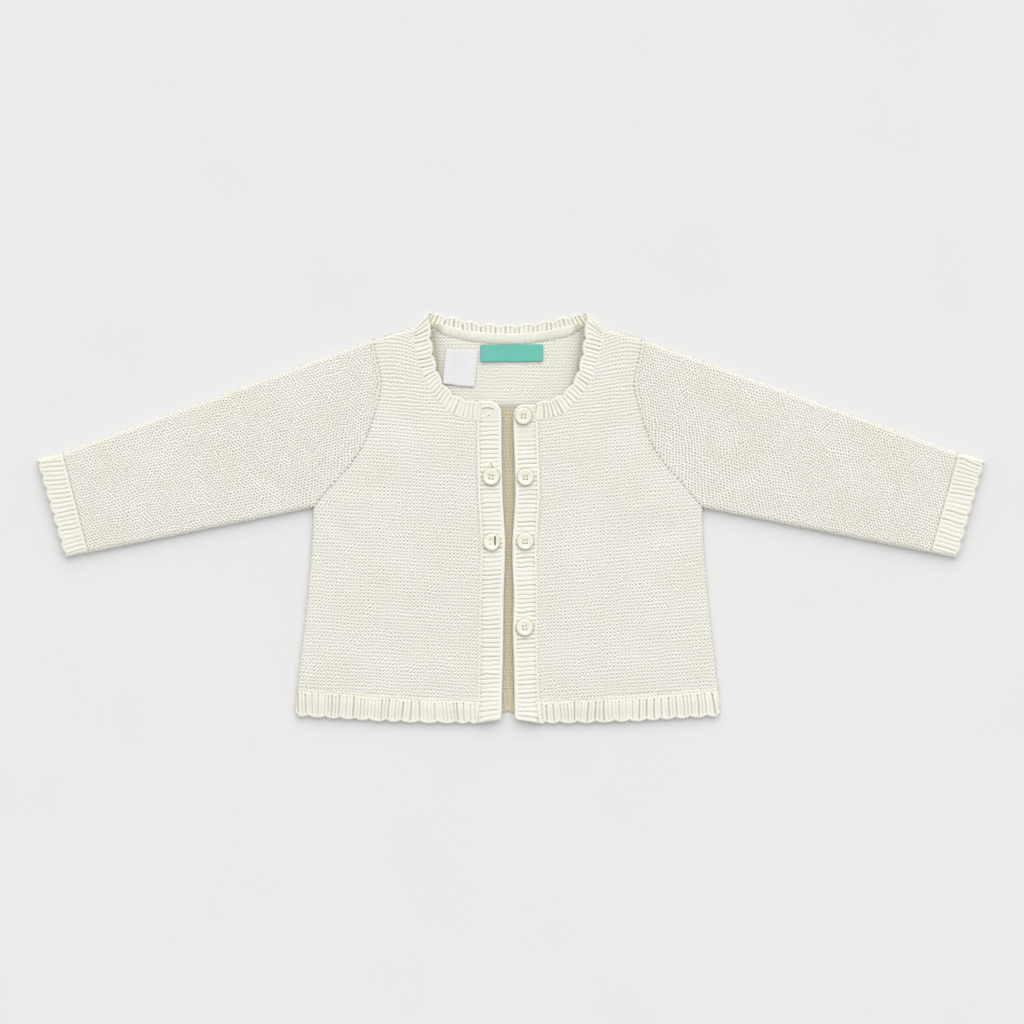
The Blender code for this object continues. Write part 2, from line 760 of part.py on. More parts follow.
def main():
    for old in list(bpy.data.objects):
        bpy.data.objects.remove(old, do_unlink=True)
    knit = material("cream_knit", (0.87, 0.85, 0.78), 0.9, sheen=0.3)
    ribbed = material("cream_rib", (0.89, 0.87, 0.80), 0.9, sheen=0.3)
    tape = material("cream_tape", (0.88, 0.87, 0.82), 0.7)
    woven = material("mint_woven", (0.13, 0.58, 0.47), 0.6)
    satin = material("white_satin", (0.90, 0.90, 0.90), 0.4)
    plastic = material("cream_plastic", (0.88, 0.85, 0.74), 0.35)

    pieces = [make_back(knit), make_back_hem(ribbed), make_neckband(ribbed), make_tape(tape)]
    for side in (1, -1):
        pieces.append(make_front(side, knit))
        pieces.append(make_front_hem(side, ribbed))
        pieces.append(make_placket(side, ribbed))
        pieces.append(make_sleeve(side, knit))
        pieces.append(make_cuff(side, ribbed))
    pieces.append(make_label("label_woven", WOVEN_LABEL, woven))
    pieces.append(make_label("label_care", CARE_LABEL, satin))
    for number, (side, up, out) in enumerate(BUTTONS, start=1):
        pieces.append(make_button(f"button_{number}", side, up, out, plastic))
    centre_on_floor(pieces)


main()
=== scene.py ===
import math

import bpy
import numpy as np
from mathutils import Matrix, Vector
from mathutils.geometry import delaunay_2d_cdt


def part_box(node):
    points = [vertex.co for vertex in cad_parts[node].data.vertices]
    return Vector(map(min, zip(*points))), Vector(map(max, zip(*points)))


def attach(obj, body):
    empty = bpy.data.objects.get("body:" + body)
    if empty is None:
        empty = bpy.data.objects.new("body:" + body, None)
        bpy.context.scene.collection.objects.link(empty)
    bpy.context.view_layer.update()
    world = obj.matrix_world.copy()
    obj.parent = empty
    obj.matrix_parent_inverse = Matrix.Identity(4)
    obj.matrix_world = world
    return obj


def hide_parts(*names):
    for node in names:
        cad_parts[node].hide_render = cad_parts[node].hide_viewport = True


# Looks of a knitted baby shrug, laid flat on its back.
# Lengths are millimetres in the garment's own frame until a mesh is made: x runs to the wearer's left
# from the centre line, "up" is the height above the lowest hem, z is the height over the floor.

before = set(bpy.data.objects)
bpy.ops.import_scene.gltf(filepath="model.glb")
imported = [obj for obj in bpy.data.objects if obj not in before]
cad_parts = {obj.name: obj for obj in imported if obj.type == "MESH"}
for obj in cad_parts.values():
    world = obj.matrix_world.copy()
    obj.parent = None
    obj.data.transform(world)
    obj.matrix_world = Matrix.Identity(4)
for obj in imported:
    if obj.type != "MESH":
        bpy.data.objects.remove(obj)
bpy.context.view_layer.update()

MM = 0.001
SIDE_NAMES = {1: "left", -1: "right"}

# Thicknesses and heights, as in the solids
WALL = 2.0
AIR = 2.1
TOP = 2 * WALL + AIR
FOLD = TOP / 2
PUFF = 0.9
RIB = 0.6
SCALLOP = 1.9
SCALLOP_ROUNDNESS = 0.55

# Stitches
STITCH = 2.45  # along a row
SLEEVE_STITCH = 1.95
SLEEVE_ROW = 2.1
ROW = 2.4
BACK_STITCH = 2.45
BACK_ROW = 2.35
KNIT_STEPS = (4, 4)  # points of the mesh for each stitch and each row
SLEEVE_STEPS = (3.4, 3.6)
PURL_HEIGHT = 1.3
SEAM_PIT = 0.45
SEAM_DIP = 0.12
LEAST_SHARE = 0.42  # relief share of the pits between stitches. Less is in deep shade
MIDDLE_SHARE = 0.71
FINE = 0.2  # share of the stitches that the material adds between the mesh's points
LEAST_STEP = 0.02  # between points along an outline

# Button bands
PLACKET_WIDTH = 15.2
PLACKET_BOTTOM = 2.8
PLACKET_ROLL = 2.3
PLACKET_WAVE = (
    # height, left, right
    (0, 12.6, 12), (44, 11.8, 10.9), (66, 11.1, 10.6), (88, 11.9, 10.5), (112, 10.9, 9.6),
    (128, 10.9, 9.2), (145, 12, 10.3), (160, 12.9, 11.1), (181, 12.5, 11.6), (199, 11.8, 11.8),
    (227, 11.2, 12),
)
PLACKET_TOP = {1: 223.6, -1: 226.2}
PLACKET_CORNER = {1: 8.0, -1: 9.0}
FOOT_CORNER = 2.6
FOOT_DROP = 2.2  # the band's lower end slopes down to meet the hem

# Panels
SIDE_EDGE = (
    # out, up
    (147.2, 24.8), (144.8, 48), (142.2, 69), (140, 90), (138.2, 111), (137, 130), (136.2, 151.6),
)
ARMHOLE = (
    # out, up
    (136.2, 151.6), (124, 166), (111, 180.5), (101.5, 194.5), (96, 208), (92.4, 220), (90, 229),
    (88.6, 238), (89.6, 246), (91.6, 254.5), (93, 262), (93.8, 269.2),
)
NECK_START_UP = 212.9
NECK_SEAM = (
    # out, up
    (33, 215.2), (42, 220.3), (50, 228.6), (56.4, 238.5), (61.6, 252), (64.8, 265), (65.8, 277.3),
)
NECK_EDGE = (
    # out, up
    (20.6, 225.6), (29.5, 227.4), (36.8, 230.6), (42, 235.4), (46.6, 242.2), (50.2, 252.5), (52.6, 266),
    (55, 288.7),
)
BACK_NECK = (
    # seam_out, seam_up, edge_out, edge_up
    (0, 269.2, 0, 280), (14, 269.7, 14, 280.8), (28, 271.4, 28, 282.8), (45, 275.5, 42, 286),
    (65.8, 277.3, 55, 288.7),
)
# Part of the back's inside that shows through the neck and between the button bands
BACK_SHOWN = (
    # out, up
    (0, 268.2), (14, 268.7), (28, 270.3), (45, 274.2), (57, 275.6), (59, 270), (57.5, 256),
    (53.5, 243.5), (47, 233.5), (37, 225), (24, 219), (12, 214), (11, 160), (11, 90), (11, 25.3),
)

# Sleeves and cuffs: ends of the cuff's seam and of its free edge, upper end first
WRIST = {1: ((316.8, 188.9), (297.4, 119.6)), -1: ((312.9, 189.2), (294.9, 119.6))}
CUFF_END = {1: ((334.2, 184.6), (315.0, 116.0)), -1: ((330.0, 185.2), (310.0, 116.4))}
CUFF_SCALLOPS = 16
RIBS_PER_CUFF_SCALLOP = 3
CUFF_STATIONS = 420
CUFF_HEAD = 1.0

# Hem
HEM_NOTCHES = (20.2, 26.8, 36.4, 49.1, 61.8, 75.0, 85.1, 97.2, 107.0, 117.3, 127.7, 139.7, 148.6)
HEM_RIB = 2.65
HEM_SHAPE = (
    # out, seam_up, edge_up
    (18, 16.6, 0), (55, 17.9, 0.2), (92, 20.2, 1.6), (120, 22.4, 3.4), (150, 25, 5.2),
)
BACK_HEM_SCALLOPS = 24
BACK_HEM_SEAM = 24.0
BACK_HEM_EDGE = 7.6

# Neckband
NECK_SCALLOPS_FRONT = 7
NECK_SCALLOPS_BACK = 9
RIBS_PER_NECK_SCALLOP = 4

# Ribs
RIB_DEPTH = 0.95
RIM = 2.3  # smooth chain round a free edge
RIB_STITCH = 2.3
PLACKET_RIB = 3.15
PLACKET_STATIONS = 560
PLACKET_PITS = 2.6  # from one pit of the band's seam to the next
PIT_RADIUS = 0.62

# Tape and labels
TAPE_RISE = 4.0
TAPE_DROP = 3.2
TAPE_LOW = 2.4
TAPE_THICK = 0.65
TAPE_REACH = 57.5
TAPE_FULL = 42.0  # half the length that has the tape's full width
WOVEN_LABEL = {"width": 44.0, "height": 12.0, "middle": (2.8, 259.6), "turn": 0.5}
CARE_LABEL = {"width": 22.6, "height": 25.4, "middle": (-33.2, 249.4), "turn": -5.6}
LABEL_LOW = 2.75
LABEL_THICK = 0.45

# Buttons
BUTTON_RADIUS = 5.9
BUTTON_THICK = 2.4
BUTTON_BASE = 7.0
BUTTONS = (
    # side, height, out, turn in degrees
    (1, 215.4, 11, 4), (1, 172.6, 12.4, -3), (1, 127.8, 12.2, 2), (1, 67.6, 11.9, 5),
    (-1, 172.9, 11.6, -5), (-1, 127.2, 11.2, 0),
)

# Buttonholes of the wearer's right band: ends of each slit and its half width
SLITS = (
    # x1, up1, x2, up2, half_width
    (-18.2, 219.8, -15.6, 221, 0.35), (-15.6, 221, -12.6, 220.8, 0.45),
    (-12.6, 220.8, -9.9, 219.6, 0.4), (-12, 182.3, -10.2, 178.4, 0.45), (-9.2, 131.8, -9.4, 126.4, 0.5),
    (-13.6, 215.4, -13, 215.9, 0.5), (-19.6, 215.8, -19.4, 216.1, 0.4), (-18.4, 213.9, -18, 213.6, 0.3),
)

# Soft hollows (negative) and ridges pressed into the upper layer, for a side: from, to, half width, height
FRONT_CREASES = (
    # side, out1, up1, out2, up2, half_width, height
    (1, 134, 146, 96, 128, 7, -0.7), (1, 126, 156, 88, 150, 6, 0.5), (1, 92, 214, 60, 196, 9, -0.5),
    (1, 60, 40, 112, 62, 12, -0.4), (1, 24, 120, 74, 108, 10, 0.4), (-1, 133, 147, 100, 124, 7, -0.75),
    (-1, 127, 158, 86, 154, 6, 0.5), (-1, 90, 216, 56, 204, 9, -0.5), (-1, 44, 60, 104, 44, 12, -0.4),
    (-1, 30, 92, 84, 104, 11, 0.4),
)
SLEEVE_CREASES = (
    # side, out1, up1, out2, up2, half_width, height
    (1, 142, 154, 176, 186, 7, -0.8), (1, 138, 162, 160, 206, 6, 0.5),
    (1, 196, 150, 214, 184, 9, -0.45), (1, 262, 176, 240, 204, 9, -0.4),
    (1, 120, 250, 170, 226, 10, 0.5), (-1, 141, 153, 180, 180, 7, -0.8),
    (-1, 136, 164, 152, 204, 6, 0.5), (-1, 206, 148, 222, 178, 9, -0.45),
    (-1, 250, 184, 236, 206, 9, -0.4), (-1, 116, 246, 166, 230, 10, 0.5),
)

# Starts of the repeatable random tables. A right-hand piece adds SEED_STEP
SEEDS = {
    "front": 11, "seams": 41, "front_cloth": 51, "sleeve": 111, "sleeve_cloth": 151, "back": 211,
    "front_hem": 311, "back_hem": 351, "back_hem_inside": 353, "placket": 411, "cuff": 511,
    "neckband": 611, "neckband_inside": 631, "tape": 701,
}
SEED_STEP = 20


# Numbers


def table_at(table, key, column):
    """Straight-line reading of one column of a table, for an array of keys."""
    rows = np.array(table, float)
    return np.interp(key, rows[:, 0], rows[:, column])


def smoothstep(value, low, high):
    part = np.clip((value - low) / (high - low), 0.0, 1.0)
    return part * part * (3.0 - 2.0 * part)


def noise(x, y, seed, size=64):
    """Smooth repeatable noise between -1 and 1 with features one unit wide."""
    table = np.random.default_rng(seed).uniform(-1.0, 1.0, (size, size))
    left, low = np.floor(x).astype(int), np.floor(y).astype(int)
    a, b = x - left, y - low
    a, b = a * a * (3 - 2 * a), b * b * (3 - 2 * b)
    left, low = left % size, low % size
    right, high = (left + 1) % size, (low + 1) % size
    lower = blend(table[left, low], table[right, low], a)
    return blend(lower, blend(table[left, high], table[right, high], a), b)


def wave(turns):
    """1 at whole turns and 0 halfway between them."""
    return 0.5 + 0.5 * np.cos(2 * np.pi * turns)


def bell(value, width):
    """1 at zero, falling away on both sides."""
    return np.exp(-((value / width) ** 2))


def blend(first, second, share):
    return first * (1 - share) + second * share


def pair(first, second):
    """Two coordinates as places in a plane."""
    return np.stack(np.broadcast_arrays(first, second), -1)


def cross(first, second):
    return first[:, 0] * second[:, 1] - first[:, 1] * second[:, 0]


def raised(spots, height):
    """Places in the plane at one height, or at a height each."""
    return np.column_stack([spots, np.broadcast_to(height, len(spots))])


def unit(vector):
    return vector / np.hypot(*vector)


def seeded(side, first):
    """Seed of a piece of the left side, or of its twin on the right."""
    return first if side > 0 else first + SEED_STEP


def scatter(i, seed, j=np.zeros(1), size=128):
    """A repeatable random number between 0 and 1 for each pair of whole numbers."""
    table = np.random.default_rng(seed).random((size, size))
    return table[i.astype(int) % size, j.astype(int) % size]


def smooth_line(points, step=2.5):
    """Curve through points, cut into short straight steps."""
    points = np.array(points, float)
    ends = np.vstack([2 * points[0] - points[1], points, 2 * points[-1] - points[-2]])
    made = []
    for p0, p1, p2, p3 in zip(ends, ends[1:], ends[2:], ends[3:]):
        count = max(1, round(np.hypot(*(p2 - p1)) / step))
        t = (np.arange(count) / count)[:, None]
        line = 2 * p1 + (p2 - p0) * t + (2 * p0 - 5 * p1 + 4 * p2 - p3) * t**2
        made.append((line + (3 * p1 - p0 - 3 * p2 + p3) * t**3) / 2)
    return np.vstack(made + [points[-1:]])


def run_length(line):
    return np.concatenate([[0.0], np.cumsum(np.hypot(*np.diff(line, axis=0).T))])


def points_along(line, distance):
    """Points of a polyline at the given distances from its start."""
    run = run_length(line)
    return np.stack([np.interp(distance, run, line[:, axis]) for axis in (0, 1)], -1)


def in_blocks(count, wide):
    """Numbers of the points, in parts small enough for tables with a column for each segment."""
    return np.array_split(np.arange(count), max(1, count * wide // 1_500_000))


def nearest(points, line):
    """For each point: distance to a polyline, run along it there, and the segment's number."""
    a, step = line[:-1], np.diff(line, axis=0)
    length = np.maximum(np.hypot(*step.T), 1e-9)
    start = np.concatenate([[0.0], np.cumsum(length)[:-1]])
    gaps, runs, segments = np.zeros(len(points)), np.zeros(len(points)), np.zeros(len(points), int)
    for block in in_blocks(len(points), len(a)):
        away = points[block][:, None, :] - a
        part = np.clip((away * step).sum(2) / length**2, 0.0, 1.0)
        gap = np.hypot(*np.moveaxis(away - part[..., None] * step, 2, 0))
        best = gap.argmin(1)
        pick = (np.arange(len(block)), best)
        gaps[block], segments[block] = gap[pick], best
        runs[block] = start[best] + part[pick] * length[best]
    return gaps, runs, segments


def inside(points, outline):
    """True for each point that lies in a closed outline."""
    x, y = points[:, :1], points[:, 1:2]
    a, b = outline, np.roll(outline, -1, axis=0)
    rise = np.where(b[:, 1] == a[:, 1], 1e-12, b[:, 1] - a[:, 1])
    held = np.zeros(len(points), bool)
    for block in in_blocks(len(points), len(a)):
        crosses = (a[:, 1] > y[block]) != (b[:, 1] > y[block])
        reach = a[:, 0] + (y[block] - a[:, 1]) * (b[:, 0] - a[:, 0]) / rise
        held[block] = (crosses & (x[block] < reach)).sum(1) % 2 == 1
    return held


def scallop(part):
    """0 at a notch and 1 over the crown, for a fraction of one scallop."""
    return np.sin(np.pi * np.clip(part, 0.0, 1.0)) ** SCALLOP_ROUNDNESS


def placket_middle(side, height):
    return table_at(PLACKET_WAVE, height, 1 if side > 0 else 2)


def placket_seam(side, height):
    return placket_middle(side, height) + PLACKET_WIDTH / 2


# Building meshes


class Shape:
    """Collects points and faces of one piece, with how raised each point is (its relief share, which the
    materials also paint as shade) and its place in the knit.
    """

    def __init__(self):
        self.points, self.relief, self.knit = [], [], []
        self.faces, self.slots = {3: [], 4: []}, {3: [], 4: []}
        self.count = 0

    def add(self, points, relief=1.0, knit=None):
        points = np.asarray(points, float).reshape(-1, 3)
        number = len(points)
        self.points.append(points)
        self.relief.append(np.broadcast_to(np.asarray(relief, float).reshape(-1), (number,)))
        place = points[:, :2] / STITCH if knit is None else np.asarray(knit).reshape(number, -1)
        self.knit.append(np.pad(place, ((0, 0), (0, 3 - place.shape[1]))))
        self.count += number
        return np.arange(self.count - number, self.count)

    def join(self, faces, slot=0):
        faces = np.asarray(faces, int)
        if len(faces):
            self.faces[faces.shape[1]].append(faces)
            self.slots[faces.shape[1]].append(np.full(len(faces), slot))

    def strip(self, upper, lower, slot=0):
        """Faces between two closed rows of points of equal length. Collapsed ones become triangles."""
        a, d = upper, lower
        b, c = np.roll(upper, -1), np.roll(lower, -1)
        same_start, same_end = a == d, b == c
        self.join(np.stack([a, d, c, b], -1)[~same_start & ~same_end], slot)
        self.join(np.stack([a, c, b], -1)[same_start & ~same_end], slot)
        self.join(np.stack([a, d, b], -1)[same_end & ~same_start], slot)

    def fill(self, loops, facing, slot=0):
        """Flat cap inside closed rows of points. The first is the outside, others are holes."""
        flat = np.concatenate(loops)
        spots = np.vstack(self.points)[flat][:, :2]
        edges, first = [], 0
        for loop in loops:
            number = first + np.arange(len(loop))
            edges += pair(number, np.roll(number, -1)).tolist()
            first += len(loop)
        found = delaunay_2d_cdt([Vector(p) for p in spots.tolist()], edges, [], 1, 1e-7)
        made = np.array([f for f in found[2]], int)
        origin = np.array([ids[0] if ids else -1 for ids in found[3]])
        assert (origin >= 0).all(), "a cap's outline crosses itself"
        made = origin[made]
        middle = spots[made].mean(1)
        first = len(loops[0])
        for loop in loops[1:]:
            keep = ~inside(middle, spots[first : first + len(loop)])
            made, middle, first = made[keep], middle[keep], first + len(loop)
        a, b, c = (spots[made[:, k]] for k in range(3))
        wrong = cross(b - a, c - a) * facing < 0
        made[wrong] = made[wrong][:, ::-1]
        self.join(flat[made], slot)

    def write_faces(self, mesh):
        corners, sizes, slots = [], [], []
        for size, blocks in self.faces.items():
            for faces, slot in zip(blocks, self.slots[size]):
                corners.append(faces.ravel())
                sizes.append(np.full(len(faces), size))
                slots.append(slot)
        corners, sizes = np.concatenate(corners), np.concatenate(sizes)
        mesh.loops.add(len(corners))
        mesh.loops.foreach_set("vertex_index", corners)
        mesh.polygons.add(len(sizes))
        mesh.polygons.foreach_set("loop_start", np.concatenate([[0], np.cumsum(sizes)[:-1]]))
        mesh.polygons.foreach_set("material_index", np.concatenate(slots))
        mesh.polygons.foreach_set("use_smooth", np.ones(len(sizes), bool))

    def build(self, name, finishes):
        points = (np.vstack(self.points) - (*CENTRE, 0.0)) * MM
        mesh = bpy.data.meshes.new(name)
        mesh.vertices.add(len(points))
        mesh.vertices.foreach_set("co", points.astype(np.float32).ravel())
        for finish in finishes:
            mesh.materials.append(finish)
        self.write_faces(mesh)
        mesh.update(calc_edges=True)
        mesh.validate()
        relief = mesh.attributes.new("relief", "FLOAT", "POINT")
        relief.data.foreach_set("value", np.concatenate(self.relief).astype(np.float32))
        knit = mesh.attributes.new("knit", "FLOAT_VECTOR", "POINT")
        knit.data.foreach_set("vector", np.vstack(self.knit).astype(np.float32).ravel())
        return put_in_scene(name, mesh)


def put_in_scene(name, data):
    made = bpy.data.objects.new(name, data)
    bpy.context.scene.collection.objects.link(made)
    return made


def boundary(quads, count):
    """Closed row of the points round a sheet of quads, anticlockwise for anticlockwise quads."""
    a = quads.ravel()
    b = np.roll(quads, -1, axis=1).ravel()
    there, back = a * count + b, b * count + a
    free = ~np.isin(there, back)
    after = dict(zip(a[free].tolist(), b[free].tolist()))
    first = min(after)
    loop = [first]
    while after[loop[-1]] != first:
        loop.append(after[loop[-1]])
    return np.array(loop)


# Outlines of the panels


class Outline:
    """Closed outline made of named edges. Folded edges turn down to the middle height, others are seams."""

    def __init__(self, edges):
        self.edges = {name: (np.array(line, float), folded) for name, line, folded in edges}
        lines = self.edges.values()
        self.points = np.vstack([line[:-1] for line, _ in lines])
        self.folded = np.concatenate([np.full(len(line) - 1, folded) for line, folded in lines])
        self.closed = np.vstack([self.points, self.points[:1]])
        after = self.closed[1:]
        area = cross(self.points, after).sum() / 2
        self.winding, self.area = math.copysign(1.0, area), abs(area)

    def away(self, line):
        """Outward direction of each segment of a line that runs the outline's way."""
        step = np.diff(line, axis=0)
        step /= np.maximum(np.hypot(*step.T), 1e-9)[:, None]
        return pair(step[:, 1], -step[:, 0]) * self.winding

    def orderly(self, loop, spots):
        """A closed row of points in the outline's direction, each moved to run on from the last."""
        whole = run_length(self.closed)[-1]
        loop = loop[:: int(self.winding)]
        run = nearest(spots[loop], self.closed)[1]
        first = int(run.argmin())
        loop, run = np.roll(loop, -first), np.roll(run, -first)
        run = np.where(run - np.linspace(0.0, whole, len(run)) > whole / 2, run - whole, run)
        least = LEAST_STEP * np.arange(len(run))
        run = np.maximum.accumulate(run - least) + least
        return loop, np.minimum(run, run[0] + whole - LEAST_STEP * (len(run) - np.arange(len(run))))

    def at(self, run):
        """Segments at distances along the outline, and how far along the segments those are."""
        stops = run_length(self.closed)
        run = run % stops[-1]
        segment = np.clip(np.searchsorted(stops, run, side="right") - 1, 0, len(self.points) - 1)
        return segment, (run - stops[segment]) / np.maximum(np.diff(stops)[segment], 1e-9)

    def inset(self, segment, part, for_fold, for_seam):
        """Places moved inwards by a distance that depends on the kind of edge."""
        away = self.away(self.closed)
        depth = np.where(self.folded, for_fold, for_seam)
        before, before_depth = np.roll(away, 1, axis=0), np.roll(depth, 1)
        bend = 1 + (away * before).sum(1)
        bisector = (away + before) / np.maximum(bend, 0.35)[:, None]
        corner = self.points - bisector * ((depth + before_depth) / 2)[:, None]
        after = np.roll(corner, -1, axis=0)
        return corner[segment] + part[:, None] * (after[segment] - corner[segment])

    def clear(self, points, folded):
        """Distance to the nearest edge of a kind, and the outward direction there."""
        best, direction = np.full(len(points), 1e3), np.zeros((len(points), 2))
        for line, turned in self.edges.values():
            if turned == folded:
                gap, _, segment = nearest(points, line)
                closer = gap < best
                best[closer] = gap[closer]
                direction[closer] = self.away(line)[segment][closer]
        return best, direction


def signed(side, rows):
    return [(side * row[0], row[1]) for row in rows]


def front_outline(side):
    out = np.linspace(placket_seam(side, 17.0), SIDE_EDGE[0][0], 24)
    hem = pair(side * out, table_at(HEM_SHAPE, out, 1))
    hem[-1] = signed(side, SIDE_EDGE[:1])[0]
    heights = np.linspace(NECK_START_UP, hem[0][1], 60)
    placket = pair(side * placket_seam(side, heights), heights)
    neck = smooth_line(signed(side, NECK_SEAM[::-1]) + [placket[0]])
    return Outline((
        ("hem", hem, False),
        ("side", smooth_line(signed(side, SIDE_EDGE), 4.0), True),
        ("armhole", smooth_line(signed(side, ARMHOLE)), False),
        ("shoulder", signed(side, (ARMHOLE[-1], NECK_SEAM[-1])), True),
        ("neck", neck, False),
        ("placket", placket, False),
    ))


def sleeve_outline(side):
    top, bottom = signed(side, WRIST[side])
    armhole = smooth_line(signed(side, ARMHOLE[::-1]))
    return Outline((
        ("armhole", armhole, False),
        ("lower", [armhole[-1], bottom], True),
        ("wrist", [bottom, top], False),
        ("upper", [top, armhole[0]], True),
    ))


def back_outline():
    edges = []
    for side, way in ((1, 1), (-1, -1)):
        name = SIDE_NAMES[side]
        body_side = smooth_line(signed(side, SIDE_EDGE[::way]), 4.0)
        arm = smooth_line(signed(side, ARMHOLE[::way]))
        edges.append([(name + "_side", body_side, True), (name + "_armhole", arm, False)][::way])
    (_, left_arm, _), (_, right_arm, _) = edges[0][1], edges[1][0]
    neck = smooth_line(signed(1, BACK_NECK[::-1]) + signed(-1, BACK_NECK[1:]))
    corner_out, corner_up = SIDE_EDGE[0]
    hem = [(x, corner_up) for x in np.linspace(-corner_out, corner_out, 60)]
    return Outline((
        ("hem", hem, False),
        *edges[0],
        ("left_shoulder", [left_arm[-1], neck[0]], True),
        ("neck", neck, False),
        ("right_shoulder", [neck[-1], right_arm[0]], True),
        *edges[1],
    ))


# Stitches


def stray(s, r, seed):
    """Where a stitch really lies: rows wander, stitches drift along them, and each is a little off."""
    drift = 0.55 * noise(s / 14.0, r / 6.0, seed) + 0.3 * noise(s / 5.0, r / 1.7, seed + 6)
    wander_s = drift + 0.16 * noise(s / 1.1, r / 1.1, seed + 1)
    wander_r = 0.24 * noise(s / 4.3, r / 2.6, seed + 2) + 0.12 * noise(s / 1.2, r / 1.2, seed + 3)
    return s + wander_s, r + wander_r


def purl(s, r, seed, brick=False, lined=0.0):
    """Relief share of purl stitches, low in the pits, where the material paints shade: s counts stitches, r
    rows.

    The heads of one row's loops stand between the feet of the next, so the bumps are staggered.
    brick is for finer knit, where each stitch stands half a row off the one beside it.
    lined is how much the rows outdo the stitches, where the knit is stretched along them.
    """
    row, stitch = np.cos(2 * np.pi * r), np.cos(2 * np.pi * s)
    uneven = 0.6 + 0.4 * scatter(np.round(2 * s), seed + 4, np.round(2 * r))
    if brick:
        least = LEAST_SHARE - 0.3 * FINE
        swing = -2.2 * uneven * (np.cos(np.pi * s) * row + 0.5 * stitch) + 0.03
    else:
        least = LEAST_SHARE
        swing = ((1.02 - 0.3 * lined) * uneven * stitch - (0.52 + 0.15 * lined)) * row
    return blend(least, 1.0, np.clip(0.5 + 0.5 * swing, 0.0, 1.0))


def seam_unevenness(run, pitch):
    """How strongly each stitch of a seam pulls."""
    return 0.6 + 0.4 * scatter(np.round(run / pitch), SEEDS["seams"])


def wale(gap, run, width, lean=0.3):
    """One column of smooth stitches beside a seam: its height at a distance from the seam."""
    across = np.clip(gap / width, 0.0, 1.0)
    bow = np.sin(np.pi * across) ** 0.7
    links = wave(run / ROW + lean * np.abs(2 * across - 1))
    return bow * (0.82 + 0.18 * links)


def pits(gap, run, pitch, radius):
    """Round pits in a line, 1 in the middle of each."""
    beside = (run / pitch - np.round(run / pitch)) * pitch
    return np.exp(-((beside / radius) ** 2) - (gap / radius) ** 2)


def fold_profile(gap):
    """Height over the middle of a layer's fold, and how far its surface leans outwards."""
    lean = np.clip(1 - gap / FOLD, 0.0, 1.0)
    return FOLD * np.sqrt(1 - lean**2), lean


def creases(points, side, table):
    """Listed soft hollows and ridges."""
    total = np.zeros(len(points))
    for chosen, out1, up1, out2, up2, half_width, height in table:
        if chosen != side:
            continue
        line = np.array([(side * out1, up1), (side * out2, up2)], float)
        gap, run, _ = nearest(points, line)
        along = run / run_length(line)[-1]
        total += height * bell(gap, half_width) * (0.35 + 0.65 * np.sin(np.pi * along))
    return total


def wander(points, seed):
    """Slight unevenness of cloth that was smoothed out by hand."""
    x, y = points.T
    return 0.2 * noise(x / 31.0, y / 27.0, seed) + 0.09 * noise(x / 13.0, y / 12.0, seed + 1)


FOLD_CALM = 0.5  # how much of the stitches' relief is lost where the cloth turns over a fold
FOLD_SHARE, FOLD_LIT = 0.8, 0.16  # a fold's paleness, less on a fold that faces the light
PANEL_LAP = 0.25  # panels press into each other this far at their seams


def grid_quads(grid):
    return np.stack([grid[:-1, :-1], grid[:-1, 1:], grid[1:, 1:], grid[1:, :-1]], -1).reshape(-1, 4)


def stitch_grid(outline, place, spans):
    """The part of a grid of stitches that touches an outline: stitches, rows, places and quads."""
    (s0, s1), (r0, r1), (s_steps, r_steps) = spans
    s_line = np.arange(round((s1 - s0) * s_steps) + 1) / s_steps + s0
    r_line = np.arange(round((r1 - r0) * r_steps) + 1) / r_steps + r0
    s, r = (grid.ravel() for grid in np.meshgrid(s_line, r_line))
    spots = place(s, r)
    kept = inside(spots, outline.points)
    quads = grid_quads(np.arange(len(s)).reshape(len(r_line), len(s_line)))
    quads = quads[kept[quads].any(1)]
    used, flat = np.unique(quads, return_inverse=True)
    quads, spots = flat.reshape(quads.shape), spots[used]
    a, b, d = (spots[quads[:, k]] for k in (0, 1, 3))
    if cross(b - a, d - a).sum() < 0:
        quads = quads[:, ::-1]
    return s[used], r[used], spots, quads


def knit_sheet(outline, place, spans, texture, body, lap=0.0, rim=None):
    """A piece begun with a grid of stitches cut to an outline.

    place turns stitches and rows into x and up. texture gives the height in mm, the relief share and the
    place in the knit for points with their stitches and rows. body gives the plain height of the points.
    lap is how far the seams reach over the neighbour's. rim is the height of the edge, where it is level.
    Returns the shape and the grid's closed edge, with its places on the outline.
    """
    s, r, spots, quads = stitch_grid(outline, place, spans)
    loop, run = outline.orderly(boundary(quads, len(spots)), spots)
    segment, part = outline.at(run)
    spots[loop] = outline.inset(segment, part, 0.0, -lap)
    loop, segment, part = (row[:: int(outline.winding)] for row in (loop, segment, part))
    height, relief, places = texture(spots, s, r)
    level, lean, away = body(spots)
    calm = FOLD_CALM * lean**1.5
    pale = FOLD_SHARE - FOLD_LIT * away[:, 1]
    height, relief = height * (1 - calm), relief + (pale - relief) * calm
    rise = np.sqrt(np.clip(1 - lean**2, 0.0, 1.0))
    points = raised(spots + away * (height * lean)[:, None], level + height * rise)
    if rim is not None:
        points[loop, 2] = rim
    shape = Shape()
    shape.join(shape.add(points, relief, places)[quads])
    return shape, loop, (segment, part)


def add_ring(shape, outline, spot, insets, heights, knit_of=None):
    """A closed row of points, moved in from an outline and set at a height by the kind of each edge."""
    spots = outline.inset(*spot, *insets)
    height = np.where(outline.folded[spot[0]], *heights)
    return shape.add(raised(spots, height), 1.0, knit_of and knit_of(spots))


